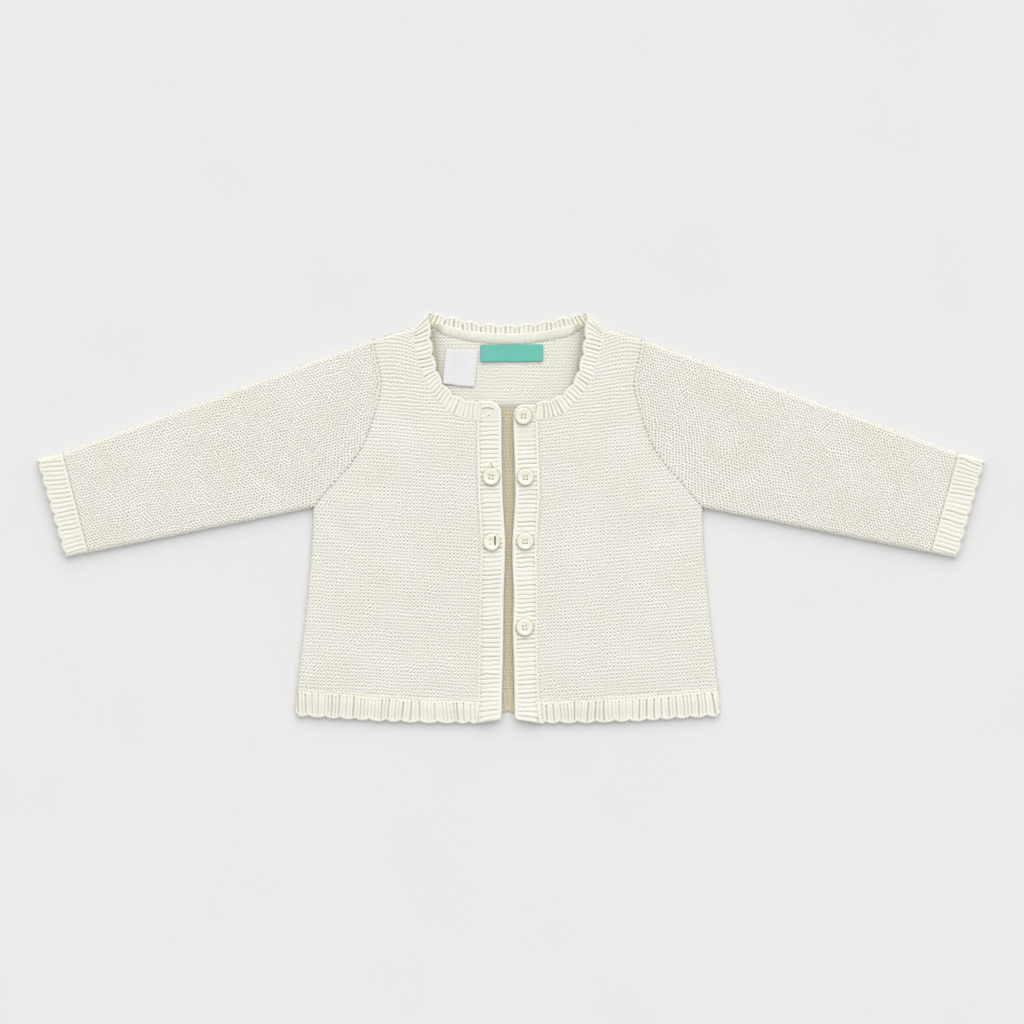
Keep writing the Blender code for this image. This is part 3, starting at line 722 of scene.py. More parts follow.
def upper_body(outline, side, table, seed):
    """Plain height of an upper layer: flat, rounded at folds, dipped at seams, softly uneven."""

    def body(spots):
        fold_gap, away = outline.clear(spots, True)
        seam_gap, _ = outline.clear(spots, False)
        rise, lean = fold_profile(fold_gap)
        inner = smoothstep(np.minimum(fold_gap, seam_gap), 0.0, 26.0)
        puff = PUFF * 0.85 * inner + inner * (creases(spots, side, table) + wander(spots, seed))
        dip = SEAM_DIP * bell(seam_gap, 0.7) * smoothstep(fold_gap, 0.0, 2.0)
        return FOLD + rise + puff - dip, lean, away

    return body


# Panels


FRONT_TILT = {
    # slope of the knit rows at the hem, at mid height and at the shoulder
    1: (0.065, 0.105, 0.125),
    -1: (0.055, 0.06, 0.10),
}


def front_place(side):
    """Stitches run along rows that climb towards the side. Columns follow the button band."""

    def place(s, r):
        level = r * ROW
        tilt = np.interp(level, (15.0, 150.0, 270.0), FRONT_TILT[side])
        from_band = s * STITCH
        arch = 4.0 * bell(from_band - 62.0, 15.0) * smoothstep(level, 222.0, 262.0)
        up = level + tilt * from_band + arch
        seam = placket_seam(side, np.clip(up, 0.0, NECK_START_UP))
        follow = 1 - smoothstep(from_band, 0.0, 70.0)
        out = placket_seam(side, 100.0) * (1 - follow) + seam * follow + from_band
        return pair(side * out, up)

    return place


ARMHOLE_PIT = 3.3  # from one stitch of the armhole seam to the next
FRONT_SEAM_PITS = (
    # edge, distance from it, pitch along it, strength
    ("placket", 2.5, 2.4, 0.8),
    ("armhole", 0.35, ARMHOLE_PIT, 0.75),
    ("neck", 0.0, 2.2, 0.6),
    ("hem", 0.4, 2.9, 0.8),
)


# SEAM_LINE also darkens that line in colour: painted shade.
SEAM_LINE = 0.14  # how deep the line between the pits along an armhole is


def front_texture(side, outline):
    """Purl stitches, with a smooth column beside the button band and small pits along the seams."""

    def texture(spots, s, r):
        seed = seeded(side, SEEDS["front"])
        s, r = stray(s, r, seed)
        lined = smoothstep(spots[:, 1], 175.0, 235.0)
        share = purl(s, r, seed, lined=lined)
        height = PURL_HEIGHT * (share - MIDDLE_SHARE)
        gap, run, _ = nearest(spots, outline.edges["placket"][0])
        column = wale(gap, run, 2.1)
        upper = 0.4 + 0.6 * smoothstep(spots[:, 1], 90.0, 160.0)
        mix = (1 - smoothstep(gap, 1.5, 2.2)) * upper
        share = blend(share, 0.55 + 0.4 * column, mix)
        height = blend(height, 0.5 * (column - 0.5), mix)
        weight = FINE * (1 - mix) * (1 - 0.6 * lined)
        for name, away, pitch, strength in FRONT_SEAM_PITS:
            gap, run, _ = nearest(spots, outline.edges[name][0])
            deep = strength * seam_unevenness(run, pitch) * pits(gap - away, run, pitch, PIT_RADIUS)
            deep = deep * (upper if name == "placket" else 1.0)
            deep = np.maximum(deep, SEAM_LINE * bell(gap, 0.5) * (name == "armhole"))
            # The pits and the armhole's seam line are darkened in colour as well as sunk: painted shade.
            share = share * (1 - 0.9 * deep)
            height = height - SEAM_PIT * deep
        return height, share, np.stack([s, r, weight], -1)

    return texture


def close_front(shape, rim, spot, outline):
    """Rim and inner face of an upper layer that is open at the folds."""
    under = add_ring(shape, outline, spot, (WALL, 0.3), (FOLD + 0.15, TOP - WALL))
    level = add_ring(shape, outline, spot, (WALL + 1.6, 0.6), (TOP - WALL, TOP - WALL))
    shape.strip(rim, under, slot=1)
    shape.strip(under, level, slot=1)
    shape.fill([level], -1, slot=1)


def make_front(side, finishes):
    outline = front_outline(side)
    body = upper_body(outline, side, FRONT_CREASES, seeded(side, SEEDS["front_cloth"]))
    spans = ((-1.0, 61.0), (4.0, 117.0), KNIT_STEPS)
    made = knit_sheet(outline, front_place(side), spans, front_texture(side, outline), body, PANEL_LAP)
    close_front(*made, outline)
    return made[0].build("knit_front_" + SIDE_NAMES[side], finishes), outline


def sleeve_axes(side):
    """Middle of the wrist, direction towards the shoulder, and direction up the wrist."""
    top, bottom = (np.array(p) for p in signed(side, WRIST[side]))
    upward = unit(top - bottom)
    inward = np.array([-side * upward[1], abs(upward[0])])
    return (top + bottom) / 2, inward, upward


def sleeve_place(side):
    middle, inward, upward = sleeve_axes(side)

    def place(s, r):
        along, across = r * SLEEVE_ROW, s * SLEEVE_STITCH
        fan = 22.0 * np.clip((20.0 - across) / 70.0, 0.0, 1.2) ** 2 * smoothstep(along, 90.0, 215.0)
        return middle + np.outer(along + fan, inward) + np.outer(across, upward)

    return place


def sleeve_knit(side, spots):
    """Stitches and rows of places on a sleeve."""
    middle, inward, upward = sleeve_axes(side)
    away = spots - middle
    return pair(away @ upward / SLEEVE_STITCH, away @ inward / SLEEVE_ROW)


def sleeve_texture(side, outline):
    """Purl stitches, two smooth columns along the armhole and smooth rows at the wrist."""

    def texture(spots, s, r):
        seed = seeded(side, SEEDS["sleeve"])
        share = purl(*stray(s, r, seed), seed, brick=True)
        height = PURL_HEIGHT * (share - MIDDLE_SHARE)
        gap, run, _ = nearest(spots, outline.edges["armhole"][0])
        whole = run_length(outline.edges["armhole"][0])[-1]
        upper = 1 - smoothstep(run / whole, 0.25, 0.5)
        column = wale(gap, run, 2.4)
        mix = 0.75 * (1 - smoothstep(gap, 1.3, 2.1)) * upper
        share = blend(share, 0.5 + 0.4 * column, mix)
        height = blend(height, 0.4 * (column - 0.5), mix)
        met = whole - run
        uneven = seam_unevenness(met, ARMHOLE_PIT)
        holes = 0.65 * uneven * pits(gap - 0.35, met, ARMHOLE_PIT, PIT_RADIUS)
        holes = SEAM_LINE * bell(gap, 0.5) + holes
        holes = holes + 0.6 * upper * pits(gap - 2.2, run + 1.2, 2.3, 0.6)
        gap, run, _ = nearest(spots, outline.edges["wrist"][0])
        chain = wale(gap, run, 1.5, 0.0)
        mix = 1 - smoothstep(gap, 1.3, 1.8)
        holes = holes + 0.7 * pits(gap - 1.75, run, 1.5, 0.6)
        share = blend(share, 0.6 + 0.35 * chain, mix)
        height = blend(height, PURL_HEIGHT * 0.6 * (chain - 0.5), mix)
        # The pits and seam lines are darkened in colour as well as sunk: painted shade.
        share = share * (1 - 0.9 * np.clip(holes, 0.0, 1.0))
        return height - SEAM_PIT * holes, share, pair(s, r)

    return texture


TUBE_RINGS = (
    # insets at folds and seams, heights at folds and seams: the lower half, then the hollow
    ((0.0, 0.0), (FOLD, 0.35)),
    ((0.35, 0.4), (1.25, 0.0)),
    ((1.5, 0.9), (0.0, 0.0)),
    ((WALL, 0.0), (FOLD, TOP - WALL)),
    ((WALL, 0.0), (FOLD, WALL)),
    ((WALL + 1.6, 0.4), (TOP - WALL, TOP - WALL)),
    ((WALL + 1.6, 0.4), (WALL, WALL)),
)


def close_tube(shape, rim, spot, outline, knit_of):
    """Lower half and hollow inside of a flattened tube whose seams are its open ends."""
    folded = outline.folded[spot[0]]
    rings = [add_ring(shape, outline, spot, insets, heights, knit_of) for insets, heights in TUBE_RINGS]
    side, turned, under, above, below, ceiling, ground = rings
    side, below = np.where(folded, rim, side), np.where(folded, above, below)
    shape.strip(side, turned, slot=1)
    shape.strip(turned, under, slot=1)
    shape.fill([under], -1, slot=1)
    shape.strip(above, ceiling, slot=1)
    shape.strip(ground, below, slot=1)
    shape.fill([ceiling], -1, slot=1)
    shape.fill([ground], 1, slot=1)
    for upper, lower in ((rim, above), (below, side)):
        around = np.stack([upper, lower, np.roll(lower, -1), np.roll(upper, -1)], -1)
        for row in around[~folded | ~np.roll(folded, -1)].tolist():
            corners = list(dict.fromkeys(row))
            if len(corners) > 2:
                shape.join([corners], slot=1)


def make_sleeve(side, finishes):
    outline = sleeve_outline(side)
    body = upper_body(outline, side, SLEEVE_CREASES, seeded(side, SEEDS["sleeve_cloth"]))
    spans = ((-46.5, 52.5), (-1.0, 120.0), SLEEVE_STEPS)
    made = knit_sheet(outline, sleeve_place(side), spans, sleeve_texture(side, outline), body, PANEL_LAP)
    close_tube(*made, outline, lambda spots: sleeve_knit(side, spots))
    return made[0].build("knit_sleeve_" + SIDE_NAMES[side], finishes), outline


def back_shown():
    """Outline of the part of the back's inside that can be seen."""
    left, right = signed(1, BACK_SHOWN), signed(-1, BACK_SHOWN[:0:-1])
    line = [tuple(p) for p in smooth_line(left[:12], 3.0)]
    mirrored = [(-x, up) for x, up in line[::-1]]
    points = line + left[12:] + right[: len(BACK_SHOWN) - 12] + mirrored[:-1] + line[:1]
    return Outline((("shown", points[::-1], False),))


GAP_SHADE = 0.4  # less light reaches the knit between the button bands
MOUTH_SHADE = 0.8  # and the corners under the front neckband


def back_texture(spots, s, r):
    s, r = stray(s, r, SEEDS["back"])
    share = purl(s, r, SEEDS["back"])
    in_gap = 1 - smoothstep(spots[:, 1], 219.0, 226.5)
    share = MIDDLE_SHARE + 0.85 * (share - MIDDLE_SHARE)
    height = PURL_HEIGHT * 0.9 * (share - MIDDLE_SHARE)
    mouth = smooth_line(NECK_EDGE)
    gap, _, _ = nearest(pair(np.abs(spots[:, 0]), spots[:, 1]), mouth)
    shade = MOUTH_SHADE * np.exp(-gap / 4.5) * smoothstep(spots[:, 1], 222.0, 262.0)
    share = blend(share, GAP_SHADE * (share - LEAST_SHARE), in_gap)
    weight = 0.7 * FINE * (1 - 0.3 * in_gap) * (1 - shade)
    return height, np.clip(share * (1 - shade), 0.0, 1.0), np.stack([s, r, weight], -1)


def back_body(spots):
    flat = np.zeros(len(spots))
    return WALL + flat, flat, np.zeros_like(spots)


def back_place(s, r):
    return pair(s * BACK_STITCH, r * BACK_ROW)


BACK_RINGS = (
    # insets at folds and seams, heights at folds and seams, from the inside out and down
    ((3.2, 0.3), (WALL, WALL)),
    ((WALL, 0.15), (FOLD - 0.1, WALL - 0.05)),
    ((0.0, 0.0), (FOLD - 0.05, WALL - 0.4)),
    ((0.35, 0.05), (1.25, 0.35)),
    ((1.5, 0.5), (0.0, 0.0)),
)


def make_back(finishes):
    outline = back_outline()
    spans = ((-26.0, 26.0), (9.0, 119.0), KNIT_STEPS)
    shape, window, _ = knit_sheet(back_shown(), back_place, spans, back_texture, back_body, rim=WALL)
    whole = run_length(outline.closed)[-1]
    spot = outline.at(np.linspace(0.0, whole, round(whole / 2.5), endpoint=False))
    rows = [
        add_ring(shape, outline, spot, insets, heights, lambda spots: spots / (BACK_STITCH, BACK_ROW))
        for insets, heights in BACK_RINGS
    ]
    for upper, lower in zip(rows, rows[1:]):
        shape.strip(upper, lower, slot=1)
    shape.fill([rows[0], window], 1, slot=1)
    shape.fill([rows[-1]], -1, slot=1)
    return shape.build("knit_back", finishes), outline


# Rib bands


def rib_profile(rho, seed, even=0.45, width=0.24):
    """How round a rib stands, how deep the grooves beside it are, and how far off its middle this is."""
    off = np.abs(rho - np.floor(rho) - 0.5) * 2
    bow = 1 - bell(1 - off, width)
    groove = np.round(rho)
    usual = np.where(groove % 2 == 0, 1.0, even)
    return bow, usual * (0.55 + 0.6 * scatter(groove, seed)), off


def rib_texture(rho, across, depth, seed, run, even=0.45, head=0.6, gain=1.0, width=0.24, roll=RIM):
    """Height in mm and relief share of a rib band.

    across is the distance from the seam. Grooves begin behind a smooth head and end before the rim,
    which is rolled as far in as roll says.
    """
    lean = 0.05 * across * noise(rho / 7.0, 0 * across, seed + 11)
    rho = rho + 0.1 * noise(rho / 4.0, across / 6.0, seed + 7) + lean
    bow, strength, off = rib_profile(rho, seed, even, width)
    strength = strength * gain
    to_edge = depth - across
    head = head * (0.8 + 0.4 * scatter(np.round(rho), seed + 12))
    body = smoothstep(to_edge, roll * 0.3, roll * 1.3) * smoothstep(across, head, head + 0.9)
    links = wave(across / RIB_STITCH + 0.32 * off + 0.37 * np.round(rho - 0.5))
    split = bell(off, 0.2) * scatter(np.floor(rho), seed + 9)
    height = -(RIB_DEPTH * (1 - bow) * strength + 0.25 * off**2 + 0.1 * split) * body
    height += 0.14 * (links - 0.5) * bow * body + 0.06 * noise(rho * 2.0, across / 1.5, seed + 5)
    # Grooves and splits are darker in colour: painted shade.
    share = 1 - 0.78 * (1 - bow) * strength * body - 0.1 * split * body
    share = share * (0.84 + 0.12 * links)
    rim = np.sin(np.pi * np.clip(to_edge / roll, 0.0, 1.0)) ** 0.8
    chain = wave(run / 1.9 + 0.25 * to_edge)
    edge = 1 - smoothstep(to_edge, roll * 0.4, roll * 1.2)
    height += (0.15 * rim + 0.1 * chain * rim - 0.1) * edge
    share = blend(share, 0.55 + 0.22 * rim + 0.14 * chain, edge)
    hole = bell(across - head - 1.2, 0.75) * np.clip(off, 0.0, 1.0) ** 4
    hole = hole * smoothstep(strength, 0.35, 0.9)
    height -= 0.55 * hole
    # The pits at the grooves' starts are darkened: painted shade.
    share = share * (1 - 0.7 * hole)
    return height, np.clip(share, 0.0, 1.0)


def nose(gap, half):
    """How far a wall's face draws in towards its middle near an end, to round the end off."""
    part = np.clip(1 - gap / (half * 1.15), 0.0, 1.0)
    return half * (1 - np.sqrt(1 - part**2))


SEAM_LAP = 1.2  # how far a band's seam reaches in among its neighbour's stitches
SEAM_SINK = 1.0  # and how far it lies under them there


def lap_seams(corners):
    """Moves the seams of both faces outward, across the band."""
    for seam, edge in (corners[:2], corners[2:]):
        away = seam - edge
        seam += SEAM_LAP * away / np.linalg.norm(away, axis=1)[:, None]


def band_face(seam, edge, other_seam, other_edge, texture, count, pinch, droop, rise):
    """Points and relief of one face of a band: a row for each station, from the seam to the free edge."""
    w = np.linspace(0.0, 1.0, count + 1)
    w = (w + 0.12 * np.sin(np.pi * w) ** 2 * (w - 0.35))[None, :, None]
    here = blend(seam[:, None], edge[:, None], w)
    normal = here - blend(other_seam[:, None], other_edge[:, None], w)
    thick = np.linalg.norm(normal, axis=2, keepdims=True)
    normal, half = normal / thick, thick[..., 0] / 2
    depth = np.linalg.norm(edge - seam, axis=1)[:, None]
    across = w[..., 0] * depth
    height, relief = texture(across, depth)
    height = height - SEAM_SINK * (1 - smoothstep(across, 0.0, rise))
    draw = nose(depth - across, half) + 0.4 * nose(across, half)
    if pinch is not None:
        draw = np.maximum(draw, nose(pinch[:, None], half) * 0.85)
    offset = height * (1 - np.clip(draw / half, 0.0, 1.0)) - draw
    placed = here + normal * offset[..., None]
    placed[..., 2] -= droop * smoothstep(across / depth, 0.3, 1.0)
    return placed, relief


def band(name, corners, textures, samples, finishes, ring=False, pinch=None, droop=0.0, rise=0.75):
    """Band of cloth between two curves.

    corners holds four arrays of points: the outer face's seam and free edge, then the inner face's.
    textures and samples are for the outer and the inner face. A texture turns (distance from the seam,
    band depth) into height and relief for every station.
    pinch is each station's distance from an end that is drawn in. droop lets the free edge sink.
    rise is how far from its seam the band comes out fully from under its neighbour.
    """
    lap_seams(corners)
    outer, outer_relief = band_face(*corners, textures[0], samples[0], pinch, droop, rise)
    corners = corners[2:] + corners[:2]
    inner, inner_relief = band_face(*corners, textures[1], samples[1], pinch, droop, rise)
    loop = np.concatenate([outer, inner[:, ::-1]], 1)
    relief = np.concatenate([outer_relief, inner_relief[:, ::-1]], 1)
    shape = Shape()
    grid = shape.add(loop, relief).reshape(loop.shape[:2])
    if ring:
        grid = np.vstack([grid, grid[:1]])
    else:
        for station, order in ((0, 1), (-1, -1)):
            middle = shape.add(loop[station].mean(0)[None], relief[station].mean())
            row = grid[station][::order]
            shape.join(np.stack([row, np.roll(row, -1), np.full(len(row), middle[0])], -1))
    for upper, lower in zip(grid, grid[1:]):
        shape.strip(upper, lower)
    return facing_out(shape.build(name, finishes))


def facing_out(made):
    """Turns a closed mesh the right way round if its volume comes out negative."""
    mesh = made.data
    mesh.calc_loop_triangles()
    corners = np.empty(len(mesh.loop_triangles) * 3, int)
    mesh.loop_triangles.foreach_get("vertices", corners)
    points = np.empty(len(mesh.vertices) * 3)
    mesh.vertices.foreach_get("co", points)
    a, b, c = (points.reshape(-1, 3)[corners.reshape(-1, 3)[:, k]] for k in range(3))
    if (a * np.cross(b, c)).sum() < 0:
        mesh.flip_normals()
    return made


def hem_counts(out):
    """Running count of ribs and crown of the scallops at distances from the centre."""
    rho, crown, counted = np.zeros(len(out)), np.zeros(len(out)), 0
    for low, high in zip(HEM_NOTCHES, HEM_NOTCHES[1:]):
        ribs = max(2, round((high - low) / HEM_RIB))
        here = (out >= low) & (out <= high)
        part = (out[here] - low) / (high - low)
        rho[here], crown[here] = counted + part * ribs, scallop(part)
        counted += ribs
    return rho, crown


def flat_band_corners(seam, edge, layer):
    """Corners of a flat band in the upper (1) or lower (-1) layer."""
    outer = FOLD + layer * (FOLD if layer < 0 else FOLD + RIB)
    inner = FOLD + layer * (FOLD - WALL)
    return [raised(line, height) for height in (outer, inner) for line in (seam, edge)]


HEM_DROOP = 2.1
HEM_HEAD = 3.8  # stitches of the panel go on this far before the grooves begin


def plain_inside(across, depth):
    flat = np.zeros_like(across + depth)
    return flat, flat + 0.75


def make_front_hem(side, finishes):
    last = HEM_NOTCHES[-1]
    out = np.linspace(placket_seam(side, 9.0) - 0.5, last, 330)
    rho, crown = hem_counts(out)
    crown[out < HEM_NOTCHES[0]] = 0.2
    seam_up = table_at(HEM_SHAPE, out, 1)
    edge_up = table_at(HEM_SHAPE, out, 2) + SCALLOP * (1 - crown)
    seam = pair(side * out, seam_up + 0.2)
    edge = pair(side * out, edge_up)
    corners = flat_band_corners(seam, edge, 1)
    curl_down(corners, last - out, 1)
    seed = seeded(side, SEEDS["front_hem"])
    run = out[:, None]

    def texture(across, depth):
        height, share = rib_texture(rho[:, None], across, depth, seed, run, 0.65, HEM_HEAD, 0.9, 0.42, 1.5)
        knit = purl(*stray(run / STITCH + 0 * across, across / ROW + 0 * run, seed + 20), seed + 20)
        mix = 1 - smoothstep(across, HEM_HEAD * 0.7, HEM_HEAD * 1.1)
        height = blend(height, PURL_HEIGHT * (knit - MIDDLE_SHARE), mix)
        return height, blend(share, 1.1 * knit - 0.19, mix)

    name = "rib_hem_front_" + SIDE_NAMES[side]
    return band(name, corners, (texture, plain_inside), (28, 8), finishes, droop=HEM_DROOP, rise=3.6)


def curl_down(corners, gap, layer):
    """Turns the end of a flat band over towards the fold at the garment's side, wider below than above."""
    lean = np.clip(1 - gap / FOLD, 0.0, 1.0)
    rise = np.sqrt(1 - lean**2)
    for index, grid in enumerate(corners):
        sign = np.sign(grid[:, 0])
        grid[:, 0] += sign * (0.5 if index % 2 else -1.2) * (1 - smoothstep(gap, 0.0, 14.0))
        if index % 2:
            grid[:, 1] += 2.0 * np.clip(1 - gap / 3.2, 0.0, 1.0) ** 2
        radius = FOLD if index < 2 else FOLD - WALL
        extra = grid[:, 2] - FOLD - layer * radius
        grid[:, 2] = FOLD + layer * radius * rise + extra * rise
        grid[:, 0] -= sign * ((FOLD - radius) * lean)


def make_back_hem(finishes):
    last = HEM_NOTCHES[-1]
    out = np.linspace(-last, last, 560)
    flat = last - FOLD
    part = (np.clip(out, -flat, flat) / flat + 1) / 2 * BACK_HEM_SCALLOPS
    crown = scallop(part % 1.0)
    crown[np.abs(out) > flat] = 0.4
    rise = 0.5 * np.abs(out) / last
    seam_up = BACK_HEM_SEAM + rise + 0.9
    edge_up = BACK_HEM_EDGE - rise + SCALLOP * (1 - crown)
    seam, edge = pair(out, seam_up), pair(out, edge_up)
    corners = flat_band_corners(seam, edge, -1)
    curl_down(corners, last - np.abs(out), -1)
    rho = part * 4.0
    run = out[:, None]

    def texture(across, depth):
        return rib_texture(rho[:, None], across, depth, SEEDS["back_hem"], run)

    def inner_texture(across, depth):
        seed = SEEDS["back_hem_inside"]
        height, share = rib_texture(rho[:, None] + 0.5, across, depth, seed, run, gain=1.3)
        # Only the inside shows, between the button bands, so its colour is darkened: painted deep shade.
        return height, share * 0.27

    return band("rib_hem_back", corners, (texture, inner_texture), (14, 18), finishes, rise=3.0)


PLACKET_CALM = {1: (197.0, 0.7), -1: (211.0, 0.8)}  # height above which the ribs fade, and how much


def placket_edge(side, height):
    """How far out the opening edge lies: straight, with a rounded corner at each end."""
    edge = placket_middle(side, height) - PLACKET_WIDTH / 2
    corner = PLACKET_CORNER[side]
    into = np.clip(height - (PLACKET_TOP[side] - corner), 0.0, corner)
    low = np.clip(PLACKET_BOTTOM + FOOT_CORNER - height, 0.0, FOOT_CORNER)
    rounding = corner - np.sqrt(corner**2 - into**2) + FOOT_CORNER - np.sqrt(FOOT_CORNER**2 - low**2)
    return edge + rounding


def slit_depth(points):
    """1 inside a buttonhole, falling to 0 outside, and the raised stitching round it."""
    hole, lip = np.zeros(len(points)), np.zeros(len(points))
    for x1, up1, x2, up2, half in SLITS:
        gap, _, _ = nearest(points, np.array([(x1, up1), (x2, up2)]))
        hole = np.maximum(hole, 1 - smoothstep(gap, half * 0.5, half * 1.3))
        lip = np.maximum(lip, bell(gap - half * 2.1, 0.8))
    return hole, lip


def button_shade(spots, side):
    """Painted shade: a ring where buttons press on the band, and deep shade under them."""
    ring = np.zeros(len(spots))
    for its_side, up, out, _ in BUTTONS:
        if its_side == side:
            away = np.hypot(spots[:, 0] - side * out, spots[:, 1] - up) - BUTTON_RADIUS
            ring = np.maximum(ring, 0.45 * bell(away - 0.25, 0.55) + (away < -0.8))
    return ring


def placket_lines(side):
    """Seam and free edge of a button band, and the height of each of its stations."""
    corner = PLACKET_CORNER[side]
    start = PLACKET_TOP[side] - corner
    up = PLACKET_BOTTOM + (PLACKET_TOP[side] - PLACKET_BOTTOM) * np.linspace(0.0, 1.0, PLACKET_STATIONS)
    bend = np.clip((up - start) / corner, 0.0, 1.0)
    up = np.where(up > start, start + corner * np.sin(bend * math.pi / 2), up)
    foot = 1 - smoothstep(up, PLACKET_BOTTOM, PLACKET_BOTTOM + 9.0)
    seam = pair(side * placket_seam(side, up), up - FOOT_DROP * foot)
    return seam, pair(side * placket_edge(side, up), up), up


def placket_texture(side, edge, seam_end, up):
    """Ribs that fade towards the neck, with a rolled edge, the seam's pits and the buttonholes."""
    free = np.vstack([edge[::6], edge[-1:], seam_end])
    seed = seeded(side, SEEDS["placket"])
    calm_from, calm_share = PLACKET_CALM[side]
    w_out = placket_seam(side, up)[:, None]
    up = up[:, None]
    count = (up - PLACKET_BOTTOM) / PLACKET_RIB

    def texture(across, depth):
        shape = across.shape
        spots = pair(side * (w_out + SEAM_LAP - across), up).reshape(-1, 2)
        gap, run = (row.reshape(shape) for row in nearest(spots, free)[:2])
        sway = 0.16 * noise(across / 5.0, up / 7.0, seed + 8) + 0.014 * across * side
        sway = sway - 0.02 * across * (1 - smoothstep(up, 3.0, 16.0))
        rho = count + sway
        bow, strength, off = rib_profile(rho, seed, 0.85)
        edge_part = 1 - smoothstep(gap, PLACKET_ROLL * 0.6, PLACKET_ROLL * 1.3)
        calm = 1 - calm_share * smoothstep(up, calm_from - 3, calm_from + 3)
        body = (1 - edge_part) * calm
        links = wave(across / 2.1 + 0.3 * off + 0.5 * np.round(count - 0.5))
        split = bell(off, 0.16) * scatter(np.floor(rho), seed + 9)
        height = -(RIB_DEPTH * 0.65 * (1 - bow) * strength + 0.2 * off**2 + 0.14 * split) * body
        height += 0.14 * (links - 0.5) * (1 - edge_part) * bow
        # Grooves and splits are darker in colour: painted shade.
        share = 1 - 0.72 * (1 - bow) * body * strength - 0.12 * split * body
        share = share * (0.83 + 0.12 * links)
        fine = purl(*stray(across / 2.2 + 0 * up, up / 2.3 + 0 * across, seed + 20), seed + 20)
        height += (1 - calm) * (1 - edge_part) * 0.5 * (fine - MIDDLE_SHARE)
        share = share - (1 - calm) * (1 - edge_part) * 0.6 * (1 - fine)
        roll = np.sin(np.pi * np.clip(gap / PLACKET_ROLL, 0.0, 1.0)) ** 0.8
        chain = wave(run / 2.3 + 0.3 * gap)
        height += (0.2 * roll + 0.1 * (chain - 0.5)) * edge_part
        share = blend(share, 0.74 + 0.18 * roll + 0.08 * chain, edge_part)
        uneven = 0.4 + 0.5 * scatter(np.round(up / PLACKET_PITS), seed)
        holes = pits(across - SEAM_LAP, up + 0 * across, PLACKET_PITS, PIT_RADIUS) * uneven
        start = bell(across - 1.0 - SEAM_LAP, 0.9) * np.clip(off, 0.0, 1.0) ** 4
        holes = holes + 0.6 * start * (1 - edge_part) * scatter(np.round(rho), seed + 10)
        height -= SEAM_PIT * holes
        # Seam pits and groove starts are darkened: painted shade.
        share = share * (1 - 0.85 * np.clip(holes, 0.0, 1.0))
        share = share - button_shade(spots, side).reshape(shape)
        if side < 0:
            hole, lip = (row.reshape(shape) for row in slit_depth(spots))
            # A buttonhole is dark inside: painted shade in its depth.
            height = height * (1 - hole) - 0.8 * hole + 0.25 * lip * (1 - hole)
            share = share * (1 - hole) + 0.1 * hole + 0.1 * lip
        return height, np.clip(share, 0.0, 1.0)

    return texture


def make_placket(side, finishes):
    seam, edge, up = placket_lines(side)
    texture = placket_texture(side, edge, seam[-1:], up)
    ends = np.minimum(up - PLACKET_BOTTOM, PLACKET_TOP[side] - up)
    corners = flat_band_corners(seam, edge, 1)
    name = "rib_placket_" + SIDE_NAMES[side]
    return band(name, corners, (texture, plain_inside), (40, 8), finishes, pinch=ends)


def round_tube(a, b, radius, part):
    """Points round a flattened tube between two ends: upper face, fold, lower face, fold."""
    width, way = np.hypot(*(b - a)), unit(b - a)
    flat, turn = width - 2 * FOLD, math.pi * FOLD
    walked = part * 2 * (flat + turn)
    lower = walked >= flat + turn
    walked = np.where(lower, walked - flat - turn, walked)
    angle = np.clip((walked - flat) / FOLD, 0.0, math.pi)
    along = FOLD + np.minimum(walked, flat) + min(radius, FOLD) * np.sin(angle)
    sign = np.where(lower, -1, 1)
    spots = np.where(lower[:, None], b, a) + np.outer(sign * along, way)
    return raised(spots, np.maximum(FOLD + sign * radius * np.cos(angle), 0.0))


def notch(seam, edge, depth):
    """Draws points of a band's free edge back towards its seam."""
    reach = np.linalg.norm(edge - seam, axis=1)[:, None]
    edge -= (edge - seam) / reach * depth[:, None]


def cuff_corners(side):
    """Corners of a cuff, its ribs' running count and its run."""
    ends = [[np.array(p) for p in signed(side, line[side])] for line in (WRIST, CUFF_END)]
    part = np.arange(CUFF_STATIONS) / CUFF_STATIONS
    depth = SCALLOP * (1 - scallop((part * CUFF_SCALLOPS) % 1.0))
    corners = [round_tube(*line, radius, part) for radius in (FOLD + RIB, FOLD - WALL) for line in ends]
    notch(*corners[:2], depth)
    notch(*corners[2:], depth)
    top, bottom = ends[0]
    run = part * 2 * (np.hypot(*(bottom - top)) + 6.0)
    return corners, (part * CUFF_SCALLOPS * RIBS_PER_CUFF_SCALLOP)[:, None], run[:, None]


def make_cuff(side, finishes):
    corners, rho, run = cuff_corners(side)
    seed = seeded(side, SEEDS["cuff"])

    def texture(across, depth):
        height, share = rib_texture(rho, across, depth, seed, run, 0.8, CUFF_HEAD, 0.62, 0.32)
        # 0.93 darkens the whole cuff a little: painted shade of the tube curving down.
        return 0.85 * height, 0.93 * share

    name = "rib_cuff_" + SIDE_NAMES[side]
    return band(name, corners, (texture, plain_inside), (24, 8), finishes, ring=True)


NECK_PAIRS = (
    # seam_out, seam_up, edge_out, edge_up: ends of ribs of the front neckband
    (18.8, 212.9, 19.4, 225.6), (30, 214.4, 27.5, 227), (39.6, 218.7, 34.5, 229.5),
    (49.1, 227.6, 41.5, 234.8), (55.6, 237.5, 46.6, 243.5), (60.3, 248.5, 49.8, 251.5),
    (63.4, 259, 52, 263), (65, 268.5, 53.2, 271), (65.8, 277.3, 55, 288.7),
)


